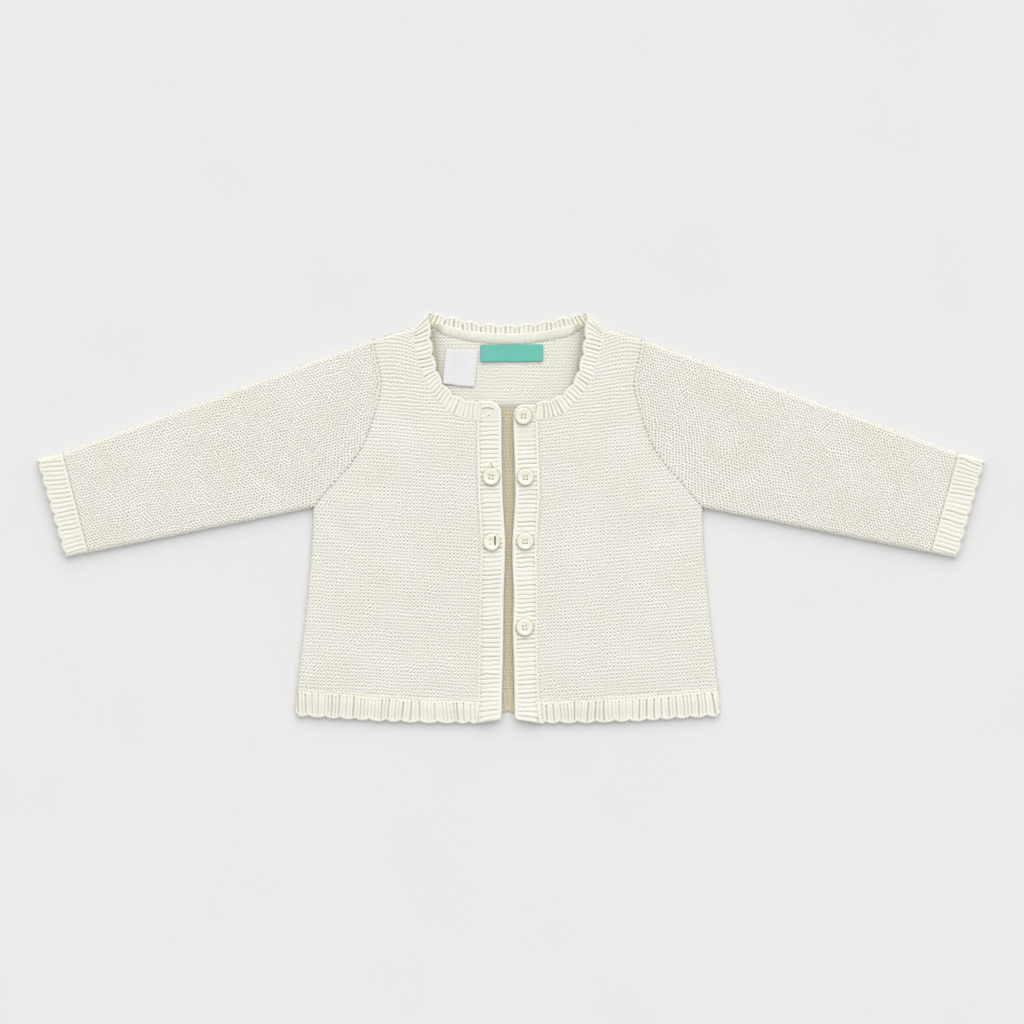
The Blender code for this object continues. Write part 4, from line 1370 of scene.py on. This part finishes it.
def paired(seam, edge, pairs, steps):
    """Matching places along two lines, led by pairs of points that belong together."""
    pairs = np.array(pairs, float)
    seam_stops = nearest(pairs[:, :2], seam)[1]
    edge_stops = nearest(pairs[:, 2:], edge)[1]
    stops = (seam_stops + edge_stops) / 2
    stops = (stops - stops[0]) / (stops[-1] - stops[0])
    return (
        points_along(seam, np.interp(steps, stops, seam_stops)),
        points_along(edge, np.interp(steps, stops, edge_stops)),
    )


def over_fold(angle, above, before, after):
    """Places on the way over the shoulder's fold, from the end of one line to the start of another."""
    inwards = FOLD - min(above, FOLD) * np.sin(angle)[:, None]
    in_front = (angle <= math.pi / 2)[:, None]
    way = np.where(in_front, unit(before[-3] - before[-1]), unit(after[1] - after[0]))
    return raised(before[-1] + way * inwards, np.maximum(FOLD + above * np.cos(angle), 0.0))


def neck_half(side):
    """Half the neckband, from the button band to the centre back: corners, ribs' running count, depth."""
    start = (placket_seam(side, NECK_START_UP) - 0.6, NECK_START_UP)
    seam = smooth_line([start] + list(NECK_SEAM))
    edge = smooth_line([(NECK_EDGE[0][0] - 1.2, NECK_EDGE[0][1])] + list(NECK_EDGE[1:]))
    back_seam = smooth_line([row[:2] for row in BACK_NECK[::-1]])
    back_edge = smooth_line([row[2:] for row in BACK_NECK[::-1]])
    flat = 1 - FOLD / run_length(seam)[-1]
    front_part = np.linspace(0.0, flat, 240, endpoint=False)
    front = paired(seam, edge, NECK_PAIRS, front_part)
    folded = FOLD / run_length(back_seam)[-1]
    back_part = np.linspace(folded, 1.0, 181)[1:]
    back = paired(back_seam, back_edge, BACK_NECK[::-1], back_part)
    angle = np.linspace(0.0, math.pi, 21)
    corners = []
    for above, below in ((FOLD + RIB, FOLD), (FOLD - WALL, FOLD - WALL - RIB)):
        for row, before, after in ((0, seam, back_seam), (1, edge, back_edge)):
            turned = over_fold(angle, above, before, after)
            lines = [raised(front[row], FOLD + above), turned, raised(back[row], FOLD - below)]
            corners.append(np.vstack(lines) * (side, 1, 1))
    front_count = front_part / flat * NECK_SCALLOPS_FRONT
    back_count = (back_part - folded) / (1 - folded) * NECK_SCALLOPS_BACK / 2
    turned = np.linspace(0.0, 0.5, len(angle))
    count = np.concatenate([front_count, front_count[-1] + turned, front_count[-1] + 0.5 + back_count])
    crown = np.concatenate([scallop(front_count % 1.0), 0.75 + 0 * angle, scallop(back_count % 1.0)])
    depth = np.concatenate([0 * front_part + 1, 1 + 0.5 * angle / math.pi, 0 * back_part + 1.5])
    notch(*corners[:2], SCALLOP * depth * (1 - crown))
    notch(*corners[2:], SCALLOP * depth * (1 - crown))
    return corners, count * RIBS_PER_NECK_SCALLOP, depth


def make_neckband(finishes):
    left, left_rho, left_depth = neck_half(1)
    right, right_rho, right_depth = neck_half(-1)
    corners = [np.vstack([a, b[-2::-1]]) for a, b in zip(left, right)]
    rho = np.concatenate([left_rho, 2 * left_rho[-1] - right_rho[-2::-1]])[:, None]
    deeper = np.concatenate([left_depth, right_depth[-2::-1]])[:, None]
    middle = (corners[0] + corners[1]) / 2
    run = np.concatenate([[0.0], np.cumsum(np.linalg.norm(np.diff(middle, axis=0), axis=1))])[:, None]

    def texture(across, depth):
        seed = SEEDS["neckband"]
        height, share = rib_texture(rho, across, depth, seed, run, 0.75, gain=0.85, width=0.32)
        return height, share * 0.97

    def inner_texture(across, depth):
        seed = SEEDS["neckband_inside"]
        height, share = rib_texture(rho + 0.5, across, depth, seed, run, 0.85, gain=0.75, width=0.34)
        # Where the band is deeper, at the back, its grooves are darkened more: painted shade.
        return height * deeper, np.clip(share - (deeper - 1) * 0.3 * (1 - share), 0.0, 1.0)

    return band("rib_neckband", corners, (texture, inner_texture), (22, 22), finishes)


# Tape, labels and buttons


def grid_ring(grid):
    return np.concatenate([grid[0, :-1], grid[:-1, -1], grid[-1, :0:-1], grid[:0:-1, 0]])


def slab(name, spots_of, low_of, high_of, relief_of, spans, finishes):
    """Thin closed piece over a grid of places. Its edges are drawn in a little."""
    columns, rows = spans
    grids = np.meshgrid(np.linspace(0.0, 1.0, columns), np.linspace(0.0, 1.0, rows))
    u, v = (grid.ravel() for grid in grids)
    spots = spots_of(u, v)
    edge = np.minimum.reduce([u * columns, (1 - u) * columns, v * rows, (1 - v) * rows])
    top = raised(spots, high_of(u, v) - 0.18 * np.exp(-edge))
    shape = Shape()
    above = shape.add(top, relief_of(u, v), pair(u, v)).reshape(rows, columns)
    below = shape.add(raised(spots, low_of(u, v)), 0.6, pair(u, v)).reshape(rows, columns)
    shape.join(grid_quads(above))
    shape.join(grid_quads(below)[:, [0, 3, 2, 1]])
    shape.strip(grid_ring(above), grid_ring(below))
    return facing_out(shape.build(name, finishes))


def make_tape(finishes):
    def twill(u, v):
        """Slanting lines of the weave."""
        return u * TAPE_REACH * 2 / 1.3 + v * 3.0

    def spots_of(u, v):
        out = TAPE_REACH * (2 * u - 1)
        seam = table_at(BACK_NECK, np.abs(out), 1)
        ripple = 0.3 * noise(u * 14.0, v * 0 + 3.5, SEEDS["tape"])
        drop = TAPE_DROP - (TAPE_DROP + 1.5) * smoothstep(np.abs(out), TAPE_FULL, TAPE_REACH)
        return pair(out, seam - drop + (drop + TAPE_RISE) * v + ripple * (1 - v))

    def sewn(u, v):
        """Lines of stitches near both edges of the tape."""
        return wave(u * TAPE_REACH * 2 / 2.6) * (bell(v - 0.13, 0.045) + bell(v - 0.87, 0.045))

    def low_of(u, v):
        return TAPE_LOW + 0 * u

    def high_of(u, v):
        bow = 0.22 * np.sin(np.pi * v) ** 0.6
        thick = 0.08 + (TAPE_THICK - 0.08) * smoothstep(v, 0.0, 0.5)
        return TAPE_LOW + thick + bow + 0.05 * np.cos(2 * np.pi * twill(u, v)) - 0.2 * sewn(u, v)

    def relief_of(u, v):
        cloth = 0.55 + 0.25 * wave(twill(u, v)) + 0.2 * noise(u * 90.0, v * 6.0, SEEDS["tape"] + 4)
        cloth = cloth - 0.4 * sewn(u, v)
        cloth = cloth - 0.3 * (1 - smoothstep(v, 0.0, 0.25)) + 0.25 * smoothstep(v, 0.8, 0.92)
        # Painted shade at both ends of the tape, which lie in the shade of the neckband's corners.
        corner = smoothstep(np.abs(TAPE_REACH * (2 * u - 1)), 43.0, 49.0)
        return np.clip(cloth * (1 - 0.85 * corner), 0.0, 1.0)

    return slab("neck_tape_sewn", spots_of, low_of, high_of, relief_of, (231, 15), finishes)


LABEL_CORNER = 0.9


def make_label(name, sizes, curl, finishes):
    turn = math.radians(sizes["turn"])
    sideways = np.array([math.cos(turn), math.sin(turn)])
    upwards = np.array([-math.sin(turn), math.cos(turn)])

    def spots_of(u, v):
        to_end = sizes["height"] * np.minimum(v, 1 - v)
        corner = LABEL_CORNER - np.sqrt(LABEL_CORNER**2 - np.clip(LABEL_CORNER - to_end, 0.0, None) ** 2)
        across = (sizes["width"] - 2 * corner) * (u - 0.5) * (1 - 0.004 * (1 - v))
        along = sizes["height"] * (v - 0.5) + 0.22 * np.sin(2.6 * np.pi * u) * (1 - v)
        return np.array(sizes["middle"]) + np.outer(across, sideways) + np.outer(along, upwards)

    def lift(u, v):
        """The lower edge stands a little off the knit, in a slow wave."""
        return curl * (1 - v) ** 2 * (0.6 + 0.4 * np.sin(2.3 * np.pi * u + 0.6))

    def low_of(u, v):
        return LABEL_LOW + lift(u, v)

    def high_of(u, v):
        return LABEL_LOW + LABEL_THICK + lift(u, v)

    def relief_of(u, v):
        return 1.0 + 0 * u

    return slab(name, spots_of, low_of, high_of, relief_of, (61, 31), finishes)


BUTTON_PROFILE = (
    # share of the radius, share of the thickness
    (0, 0), (0.72, 0), (0.86, 0.08), (0.96, 0.26), (1, 0.48), (0.985, 0.68), (0.94, 0.86), (0.88, 0.97),
    (0.81, 1), (0.74, 0.985), (0.68, 0.95), (0.64, 0.93), (0.58, 0.91), (0.48, 0.90), (0.43, 0.88),
    (0.39, 0.86), (0.35, 0.85), (0, 0.84),
)
BUTTON_TOP = BUTTON_THICK * BUTTON_PROFILE[-1][1]
HOLE_REACH = 1.3
HOLE_RADIUS = 0.52
THREAD_RADIUS = 0.4
SLOTTED = 6  # the button whose opening shows as a slot beside two small holes
SLOT = ((1.75, -2.2), (3.0, -2.2), (3.0, 4.3), (1.75, 4.3))
SLOT_HOLES = ((-0.9, 2.0), (-0.9, -1.4))


def circle(sides):
    angle = 2 * np.pi * np.arange(sides) / sides
    return pair(np.cos(angle), np.sin(angle))


def lathe(name, finish, sides=64):
    """Solid of revolution of the button's profile."""
    shape = Shape()
    rings = [
        shape.add(raised(BUTTON_RADIUS * share * circle(sides), BUTTON_THICK * height))
        for share, height in BUTTON_PROFILE[1:-1]
    ]
    low = shape.add([(0.0, 0.0, 0.0)])
    high = shape.add([(0.0, 0.0, BUTTON_TOP)])
    for lower, upper in zip(rings, rings[1:]):
        shape.strip(upper, lower)
    shape.join(np.stack([np.roll(rings[0], -1), rings[0], np.full(sides, low[0])], -1))
    shape.join(np.stack([rings[-1], np.roll(rings[-1], -1), np.full(sides, high[0])], -1))
    return shape.build(name, [finish])


def drill(disc, outlines):
    """Cuts holes of the given outlines right through the disc."""
    shape = Shape()
    for outline in outlines:
        low = shape.add(raised(outline, -1.0))
        high = shape.add(raised(outline, BUTTON_THICK + 1.0))
        shape.strip(high, low)
        shape.fill([high], 1)
        shape.fill([low], -1)
    cutter = shape.build("cutter", [])
    cut = disc.modifiers.new("holes", "BOOLEAN")
    cut.object = cutter
    cut.solver = "EXACT"
    graph = bpy.context.evaluated_depsgraph_get()
    mesh = bpy.data.meshes.new_from_object(disc.evaluated_get(graph))
    disc.modifiers.clear()
    disc.data = mesh
    bpy.data.objects.remove(cutter, do_unlink=True)
    mesh.shade_smooth()
    mesh.set_sharp_from_angle(angle=math.radians(40))


def round_hole(x, y, radius=HOLE_RADIUS):
    return radius * circle(20) + (x, y)


def add_thread(shape, steps=15, sides=10):
    """A square of strands from hole to hole, sunk at their ends."""
    t = np.linspace(-1.0, 1.0, steps)
    z = BUTTON_TOP + 0.12 - 1.5 * np.clip(np.abs(t) - 0.78, 0.0, 1.0) ** 2 * 12
    angle = 2 * np.pi * np.arange(sides) / sides + 0.5 * np.arange(steps)[:, None]
    swell = THREAD_RADIUS * (1 + 0.12 * np.cos(3 * angle))
    around = np.stack([swell * np.cos(angle), 0 * angle, swell * np.sin(angle)], -1)
    strand = np.column_stack([HOLE_REACH + 0 * t, t * HOLE_REACH, z])[:, None] + around
    for _ in range(4):
        rings = [shape.add(ring) for ring in strand]
        for a, b in zip(rings, rings[1:]):
            shape.strip(b, a, slot=1)
        for end, order in ((0, -1), (-1, 1)):
            tip = shape.add(strand[end].mean(0)[None])
            fan = np.stack([rings[end], np.roll(rings[end], -1), np.full(sides, tip[0])], -1)
            shape.join(fan[:, ::order], slot=1)
        strand = strand[..., [1, 0, 2]] * (-1, 1, 1)


def make_button(number, row, disc, finishes):
    """One sewn-on button: the drilled disc and its thread, in one mesh."""
    side, up, out, turn = row
    points = np.empty(len(disc.data.vertices) * 3)
    disc.data.vertices.foreach_get("co", points)
    shape = Shape()
    shape.add(points.reshape(-1, 3) / MM + (*CENTRE, 0.0))
    for face in disc.data.polygons:
        first, *others = face.vertices
        shape.join([[first, *ends] for ends in zip(others, others[1:])])
    if number != SLOTTED:
        add_thread(shape)
    cos, sin = math.cos(math.radians(turn)), math.sin(math.radians(turn))
    turned = np.vstack(shape.points) @ np.array([[cos, sin, 0], [-sin, cos, 0], [0, 0, 1]])
    shape.points = [turned + (side * out, up, BUTTON_BASE)]
    made = shape.build(f"button_sewn_{number}", finishes)
    made.data.set_sharp_from_angle(angle=math.radians(38))
    return made


# Materials


class Finish:
    """A procedural material under construction. Nodes take numbers or other nodes' outputs."""

    def __init__(self, name, roughness, sheen=0.0, coat=0.0, specular=0.3):
        self.made = bpy.data.materials.new(name)
        self.made.use_nodes = True
        self.nodes, self.links = self.made.node_tree.nodes, self.made.node_tree.links
        self.shader = self.nodes["Principled BSDF"]
        self.feed(self.shader, {"Roughness": roughness, "Sheen Weight": sheen, "Sheen Roughness": 0.5})
        self.feed(self.shader, {"Coat Weight": coat, "Specular IOR Level": specular})

    def feed(self, node, inputs):
        for name, value in inputs.items():
            if isinstance(value, bpy.types.NodeSocket):
                self.links.new(value, node.inputs[name])
            else:
                node.inputs[name].default_value = value

    def node(self, kind, inputs, **settings):
        made = self.nodes.new("ShaderNode" + kind)
        for name, value in settings.items():
            setattr(made, name, value)
        self.feed(made, inputs)
        return made.outputs

    def place(self):
        return self.node("TexCoord", {})["Object"]

    def noise(self, scale, detail=2.0):
        return self.node("TexNoise", {"Vector": self.place(), "Scale": scale, "Detail": detail})["Fac"]

    def math(self, kind, *values):
        return self.node("Math", dict(enumerate(values)), operation=kind)[0]

    def attribute(self, name):
        return self.node("Attribute", {}, attribute_name=name)

    def ramp(self, factor, stops):
        colour = self.node("ValToRGB", {"Fac": factor})["Color"]
        elements = colour.node.color_ramp.elements
        while len(elements) < len(stops):
            elements.new(0.5)
        for element, (position, shade) in zip(elements, stops):
            element.position = position
            element.color = (*shade, 1.0)
        return colour

    def tint(self, base, factor, low):
        """Multiplies a colour by one that runs from low to white with a factor."""
        grey = self.ramp(factor, ((0.3, low), (0.7, (1.0, 1.0, 1.0))))
        parts = {"Factor": 1.0, "A": base, "B": grey}
        return self.node("Mix", parts, data_type="RGBA", blend_type="MULTIPLY")["Result"]

    def bump(self, height, strength, distance, after=None):
        parts = {"Height": height, "Strength": strength, "Distance": distance}
        if after is not None:
            parts["Normal"] = after
        made = self.node("Bump", parts)["Normal"]
        self.feed(self.shader, {"Normal": made})
        return made

    def colour(self, base):
        self.feed(self.shader, {"Base Color": base})


YARN_STOPS = (
    # relief share, colour: up to 0.2 painted deep shade between the button bands and under the neckband,
    # then painted shade in the pits, rising to the yarn's cream on the bumps
    (0.0, (0.51, 0.465, 0.30)),
    (0.2, (0.72, 0.675, 0.515)),
    (0.26, (0.45, 0.43, 0.37)),
    (0.7, (0.84, 0.825, 0.745)),
    (1.0, (0.99, 0.985, 0.95)),
)
RIB_STOPS = (
    # relief share, colour: the low end is painted shade in the grooves, pits and buttonholes and under the
    # buttons
    (0.0, (0.61, 0.55, 0.33)),
    (0.45, (0.70, 0.67, 0.545)),
    (0.8, (0.89, 0.88, 0.81)),
    (1.0, (0.95, 0.945, 0.90)),
)
HEM_STOPS = (
    # relief share, colour, where the rib is pulled wide and its ridges fluff up; the low end is painted
    # shade in the grooves
    (0.0, (0.46, 0.42, 0.29)),
    (0.4, (0.67, 0.64, 0.51)),
    (0.75, (0.93, 0.918, 0.85)),
    (1.0, (0.985, 0.978, 0.935)),
)


# Relief share, colour: the low end is painted shade at the tape's ends.
TAPE_STOPS = ((0.0, (0.52, 0.485, 0.35)), (0.45, (0.78, 0.765, 0.68)), (1.0, (0.92, 0.91, 0.85)))
MINT_STOPS = ((0.0, (0.12, 0.47, 0.39)), (0.6, (0.185, 0.63, 0.52)))
SATIN_STOPS = ((0.0, (0.77, 0.77, 0.775)), (0.6, (0.84, 0.84, 0.845)))


def yarn_surface(name, relief_of, stops, raised_by=0.0):
    """Cream cotton yarn, with fibres and a slight unevenness. Its colour follows the relief share, so the
    pits are painted darker and yellower than the bumps: painted shade.
    """
    look = Finish(name, 0.85, sheen=0.18)
    relief = relief_of(look)
    base = look.tint(look.ramp(relief, stops), look.noise(28.0), (0.965, 0.96, 0.945))
    look.colour(look.tint(base, look.noise(900.0, 3.0), (0.95, 0.945, 0.93)))
    fibres = look.bump(look.noise(2600.0, 3.0), 0.45, 0.00025)
    if raised_by:
        look.bump(relief, raised_by, 0.0006, fibres)
    return look.made


def mesh_relief(look):
    return look.attribute("relief")["Fac"]


def stitch_waves(look, rows):
    """Crossed waves from the place in the knit, and the weight that it carries."""
    split = look.node("SeparateXYZ", {0: look.attribute("knit")["Vector"]})
    across = look.math("COSINE", look.math("MULTIPLY", split[0], 2 * math.pi))
    along = look.math("COSINE", look.math("MULTIPLY", split[1], rows * math.pi))
    return look.math("MULTIPLY", across, along), split[2]


def knit_pattern(look):
    """Purl stitches from the place in the knit, where the mesh is plain."""
    swing, _ = stitch_waves(look, 1)
    return look.math("ADD", look.math("MULTIPLY", swing, 1 - MIDDLE_SHARE), MIDDLE_SHARE)


def stitched_relief(look):
    """The mesh's relief, with the stitches made crisper by the place in the knit and its weight."""
    return look.math("ADD", mesh_relief(look), look.math("MULTIPLY", *stitch_waves(look, 2)))


def woven_surface(name, stops, gloss, threads, patches, depth, by_relief=False):
    """Woven cloth: two crossed sets of fine waves. The colour follows them, or the mesh's relief.

    gloss is roughness and sheen, threads the scales of the two sets, patches the scale and colour of a
    slight unevenness, and depth the bump's strength and distance.
    """
    look = Finish(name, *gloss)
    place = look.place()
    waves = []
    for direction, scale in zip("XY", threads):
        parts = {"Vector": place, "Scale": scale, "Distortion": 0.6, "Detail": 1.0}
        waves.append(look.node("TexWave", parts, bands_direction=direction)["Fac"])
    weave = look.math("MULTIPLY", *waves)
    base = look.ramp(mesh_relief(look) if by_relief else weave, stops)
    look.colour(look.tint(base, look.noise(patches[0]), patches[1]))
    look.bump(weave, *depth)
    return look.made


def button_surface():
    """Cream plastic with a faint cloudy marbling."""
    look = Finish("looks_button", 0.32, coat=0.25, specular=0.5)
    look.feed(look.shader, {"Coat Roughness": 0.15, "Subsurface Weight": 0.12})
    look.feed(look.shader, {"Subsurface Radius": (0.002, 0.0015, 0.001)})
    clouds = look.noise(260.0, 4.0)
    look.colour(look.ramp(clouds, ((0.25, (0.81, 0.79, 0.675)), (0.75, (0.88, 0.862, 0.77)))))
    look.bump(look.noise(1400.0, 3.0), 0.08, 0.0001)
    return look.made


def thread_surface():
    look = Finish("looks_thread", 0.7, sheen=0.2)
    twist = look.noise(3200.0)
    look.colour(look.ramp(twist, ((0.3, (0.62, 0.58, 0.44)), (0.7, (0.78, 0.745, 0.60)))))
    look.bump(twist, 0.4, 0.0001)
    return look.made


def floor_surface():
    look = Finish("studio_floor", 0.9, specular=0.1)
    look.colour(look.ramp(look.noise(9.0), ((0.3, (0.775, 0.775, 0.775)), (0.7, (0.785, 0.785, 0.785)))))
    return look.made


# Studio


FLOOR_HALF, FLOOR_LEVEL = 3.0, -0.0002
VIEW_WIDTH = 0.7168  # what the image spans on the floor
VIEW_CENTRE = (0.00091, 0.00403)
LENS, SENSOR = 135.0, 36.0
FOCUS_HEIGHT = 0.004
SKY_STRENGTH = 0.62
KEY_PLACE, KEY_SOFTNESS, KEY_STRENGTH = (0.1, 1.0, 1.15), 1.2, 1.88


def make_floor():
    mesh = bpy.data.meshes.new("studio_floor")
    corners = FLOOR_HALF * np.array(((-1, -1), (1, -1), (1, 1), (-1, 1)))
    mesh.from_pydata(raised(corners, FLOOR_LEVEL), [], [(0, 1, 2, 3)])
    mesh.materials.append(floor_surface())
    put_in_scene("studio_floor", mesh)


def make_light(name, place, softness, power):
    """A lamp too far off to light parts of the floor differently. Softness is its width as an angle."""
    lamp = bpy.data.lights.new(name, "SUN")
    lamp.angle, lamp.energy = softness, power
    made = put_in_scene(name, lamp)
    made.location = place
    made.rotation_euler = (-Vector(place)).to_track_quat("-Z", "Y").to_euler()


def make_studio():
    world = bpy.data.worlds.new("studio")
    world.use_nodes = True
    background = world.node_tree.nodes["Background"]
    background.inputs["Color"].default_value = (1.0, 1.0, 1.0, 1.0)
    background.inputs["Strength"].default_value = SKY_STRENGTH
    bpy.context.scene.world = world
    make_light("key", KEY_PLACE, KEY_SOFTNESS, KEY_STRENGTH)
    make_floor()
    bpy.context.scene.view_settings.view_transform = "Standard"


def make_camera():
    camera = bpy.data.cameras.new("camera")
    camera.lens, camera.sensor_width, camera.clip_end = LENS, SENSOR, 20.0
    made = put_in_scene("camera", camera)
    made.location = (*VIEW_CENTRE, FOCUS_HEIGHT + VIEW_WIDTH * LENS / SENSOR)
    bpy.context.scene.camera = made


# Putting it together


def centre_of_garment():
    """Where the CAD origin lies in the garment's own frame."""
    back_low, back_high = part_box("back_panel")
    placket_low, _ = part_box("placket_left")
    middle = -(back_low.x + back_high.x) / 2 / MM
    return middle, PLACKET_BOTTOM - placket_low.y / MM


CENTRE = centre_of_garment()


BAND_FILL = 0.98  # share of a band's length by width that its scallops leave


def take_place(piece, node, size=None, area=None):
    """Hides the solid that a piece stands for and hangs the piece under the root. Cloth has a flat size and
    an area, as knitted or cut, in mm; they are worked out but not used.
    """
    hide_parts(node)
    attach(piece, "root")
    if size is not None:
        area = size[0] * size[1] * BAND_FILL if area is None else area


def make_cloth():
    knits = [
        yarn_surface("looks_knit", stitched_relief, YARN_STOPS),
        yarn_surface("looks_knit_under", knit_pattern, YARN_STOPS, 0.9),
    ]
    rib = [yarn_surface("looks_rib", mesh_relief, RIB_STOPS)]
    hem_rib = [yarn_surface("looks_hem", mesh_relief, HEM_STOPS)]
    back, outline = make_back(knits)
    take_place(back, "back_panel", (300.0, 262.0), outline.area)
    for side, name in SIDE_NAMES.items():
        front, outline = make_front(side, knits)
        take_place(front, "front_" + name, (132.0, 262.0), outline.area)
        sleeve, outline = make_sleeve(side, knits)
        take_place(sleeve, "sleeve_" + name, (300.0, 240.0), outline.area * 2)
        take_place(make_front_hem(side, hem_rib), "hem_front_" + name, (130.0, 20.0))
        take_place(make_placket(side, rib), "placket_" + name, (15.4, 223.6))
        take_place(make_cuff(side, rib), "cuff_" + name, (150.0, 18.0))
    take_place(make_back_hem(rib), "hem_back", (300.0, 17.0))
    take_place(make_neckband(rib), "neckband", (360.0, 13.0))
    return back.name


def make_tape_and_labels(back):
    grey = (120.0, (0.95, 0.95, 0.95))
    cream = (60.0, (0.96, 0.955, 0.94))
    finish = woven_surface(
        "looks_tape", TAPE_STOPS, (0.8, 0.15), (420.0, 714.0), cream, (0.5, 0.00015), by_relief=True
    )
    take_place(make_tape([finish]), "neck_tape", (115.5, 14.8), 115.5 * 7.2)
    finish = woven_surface(
        "looks_mint", MINT_STOPS, (0.55, 0.2), (700.0, 420.0), grey, (0.5, 0.00012)
    )
    woven = make_label("label_woven_blank", WOVEN_LABEL, 0.9, [finish])
    take_place(woven, "label_woven", (44.0, 12.0), 44.0 * 12.0)
    finish = woven_surface(
        "looks_satin", SATIN_STOPS, (0.38, 0.1), (900.0, 1260.0), grey, (0.25, 0.00012)
    )
    care = make_label("label_care_blank", CARE_LABEL, 0.35, [finish])
    take_place(care, "label_care", (22.6, 25.4), 22.6 * 25.4)


def make_buttons():
    finishes = [button_surface(), thread_surface()]
    plain, slotted = lathe("plain_disc", finishes[0]), lathe("slotted_disc", finishes[0])
    drill(plain, [round_hole(x, y) for x in (-HOLE_REACH, HOLE_REACH) for y in (-HOLE_REACH, HOLE_REACH)])
    drill(slotted, [np.array(SLOT)] + [round_hole(x, y, 0.4) for x, y in SLOT_HOLES])
    for number, row in enumerate(BUTTONS, start=1):
        button = make_button(number, row, slotted if number == SLOTTED else plain, finishes)
        take_place(button, f"button_{number}")
    for disc in (plain, slotted):
        bpy.data.objects.remove(disc, do_unlink=True)


def main():
    make_tape_and_labels(make_cloth())
    make_buttons()
    make_studio()
    make_camera()


main()
